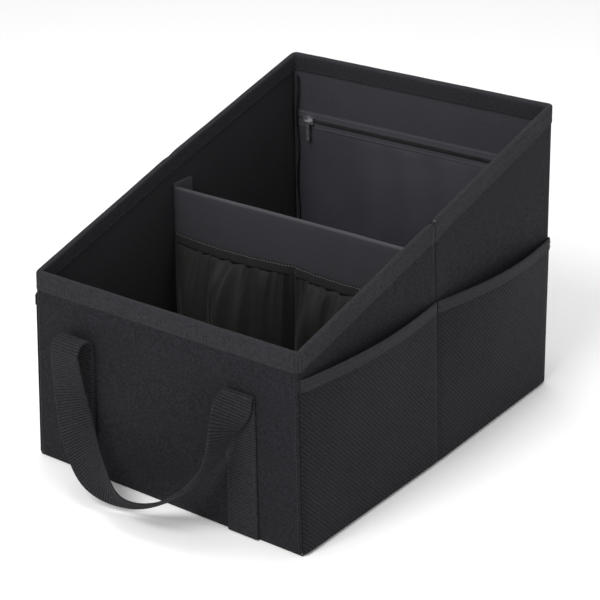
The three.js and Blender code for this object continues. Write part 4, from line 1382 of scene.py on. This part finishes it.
def dress(item, node, slot, size, held, rests_on, own=(), share=1):
    """Notes a sheet; size is width and length in mm, share the part of that rectangle it fills."""
    stand_for(item, node, slot)
    width, length = (value * MM for value in size)
    area = None if share == 1 else share * width * length
    sheets.append((item, {"flat": (width, length), "held": held, "rests_on": rests_on,
                          "area": area, "with_pieces": list(own)}))


def dress_walls(panels, ending, slot, front, back, side, base, base_held):
    """Hands over one layer of the five walls, whose boards lie under it; sizes in mm."""
    for word, size in (("front", front), ("back", back)):
        own = [seam_tapes[word + "_" + hand] for hand in ("left", "right")]
        own = own if panels is linings else []
        dress(panels[word], word + ending, slot, size, "stretched", [word + "_board"], own)
    for word in ("right", "left"):
        boards = [word + "_front_board", word + "_rear_board"]
        dress(panels[word], word + ending, slot, side, "stretched", boards, share=SLOPING_SHARE)
    dress(panels["base"], "base" + ending, slot, base, base_held, ["base_board"])


for item in made:
    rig.ride(item, "organizer")
for key, item in seam_tapes.items():
    stand_for(item, key + "_seam_tape", "binding_tape")
for key, item in pocket_tapes.items():
    stand_for(item, key + "_pocket_tape", "binding_tape")
stand_for(pouch_elastic, "pouch_elastic", "elastic")
stand_for(upper_zip_tape, "zip_upper_tape", "lining_cloth")
stand_for(lower_zip_tape, "zip_lower_tape", "lining_cloth")
stand_for(coil_teeth, "zip_chain", "zip_coil")
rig.slot(stitches, "binding_tape")
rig.slot(pale_stitches, "binding_tape")
dress_walls(shell, "_outer_panel", "outer_cloth", (278, 165), (278, 260), (358, 261), (278, 358),
            "stretched")
dress_walls(linings, "_lining", "lining_cloth", (271, 162), (271, 257), (351, 257), (271, 351),
            "laid")
dress(rim_tape, "rim_tape", "binding_tape", (34, 1290), "folded",
      ["front_outer_panel", "back_outer_panel"])
for word in ("right", "left"):
    dress(pocket_panels[word], word + "_pocket_panel", "pocket_cloth", (359, 146), "gathered",
          [word + "_outer_panel"], [pocket_tapes[word + end] for end in ("_front", "_rear")])
for word in ("front", "back"):
    dress(handles[word], word + "_handle", "webbing", (30, 572), "hung", [word + "_outer_panel"])
dress(divider_cloth, "divider_cover", "satin_cloth", (265, 368), "folded", ["divider_board"])
for word in ("left", "right"):
    dress(flanges[word], word + "_divider_flange", "satin_cloth", (24, 184), "laid",
          [word + "_wall_strip"])
for word in ("left", "right"):
    dress(strips[word], word + "_wall_strip", "hook_and_loop", (22, 182), "laid",
          [word + "_lining"])
dress(pouch_net, "net_pouch", "net", (300, 125), "gathered", ["divider_cover"], [pouch_elastic])
dress(satin_panel, "zip_pocket_panel", "satin_cloth", (266, 187), "hung", ["back_lining"],
      [upper_zip_tape, lower_zip_tape])
for item, facts in sheets:
    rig.sheet(item, **facts)
print("handed over:", len(made), "pieces,", len(sheets), "of them sheets")

# %% [markdown]
# The boards, the zip slider, its pull and the two stops are rigid, so their CAD solids stay as they
# are. They only take a finished material in place of the plain one.

# %% Finish the rigid solids
rigid = dict.fromkeys(["zip_slider", "zip_pull", "zip_left_stop", "zip_right_stop"], "zip_metal")
rigid.update({name: "stiffener_board" for name in frame["nodes"] if name.endswith("_board")})
for name, material in rigid.items():
    for one in frame["nodes"][name].material_slots:
        one.material = hard[material]
print("rigid solids finished:", sorted(rigid))

# %% [markdown]
# The measured size is written down before and after the dressing.

# %% Size and finish
low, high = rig.bounds()
with open("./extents.json", "w") as report:
    json.dump({"cad": [list(cad_low), list(cad_high)], "visual": [list(low), list(high)]}, report)
print("size written")
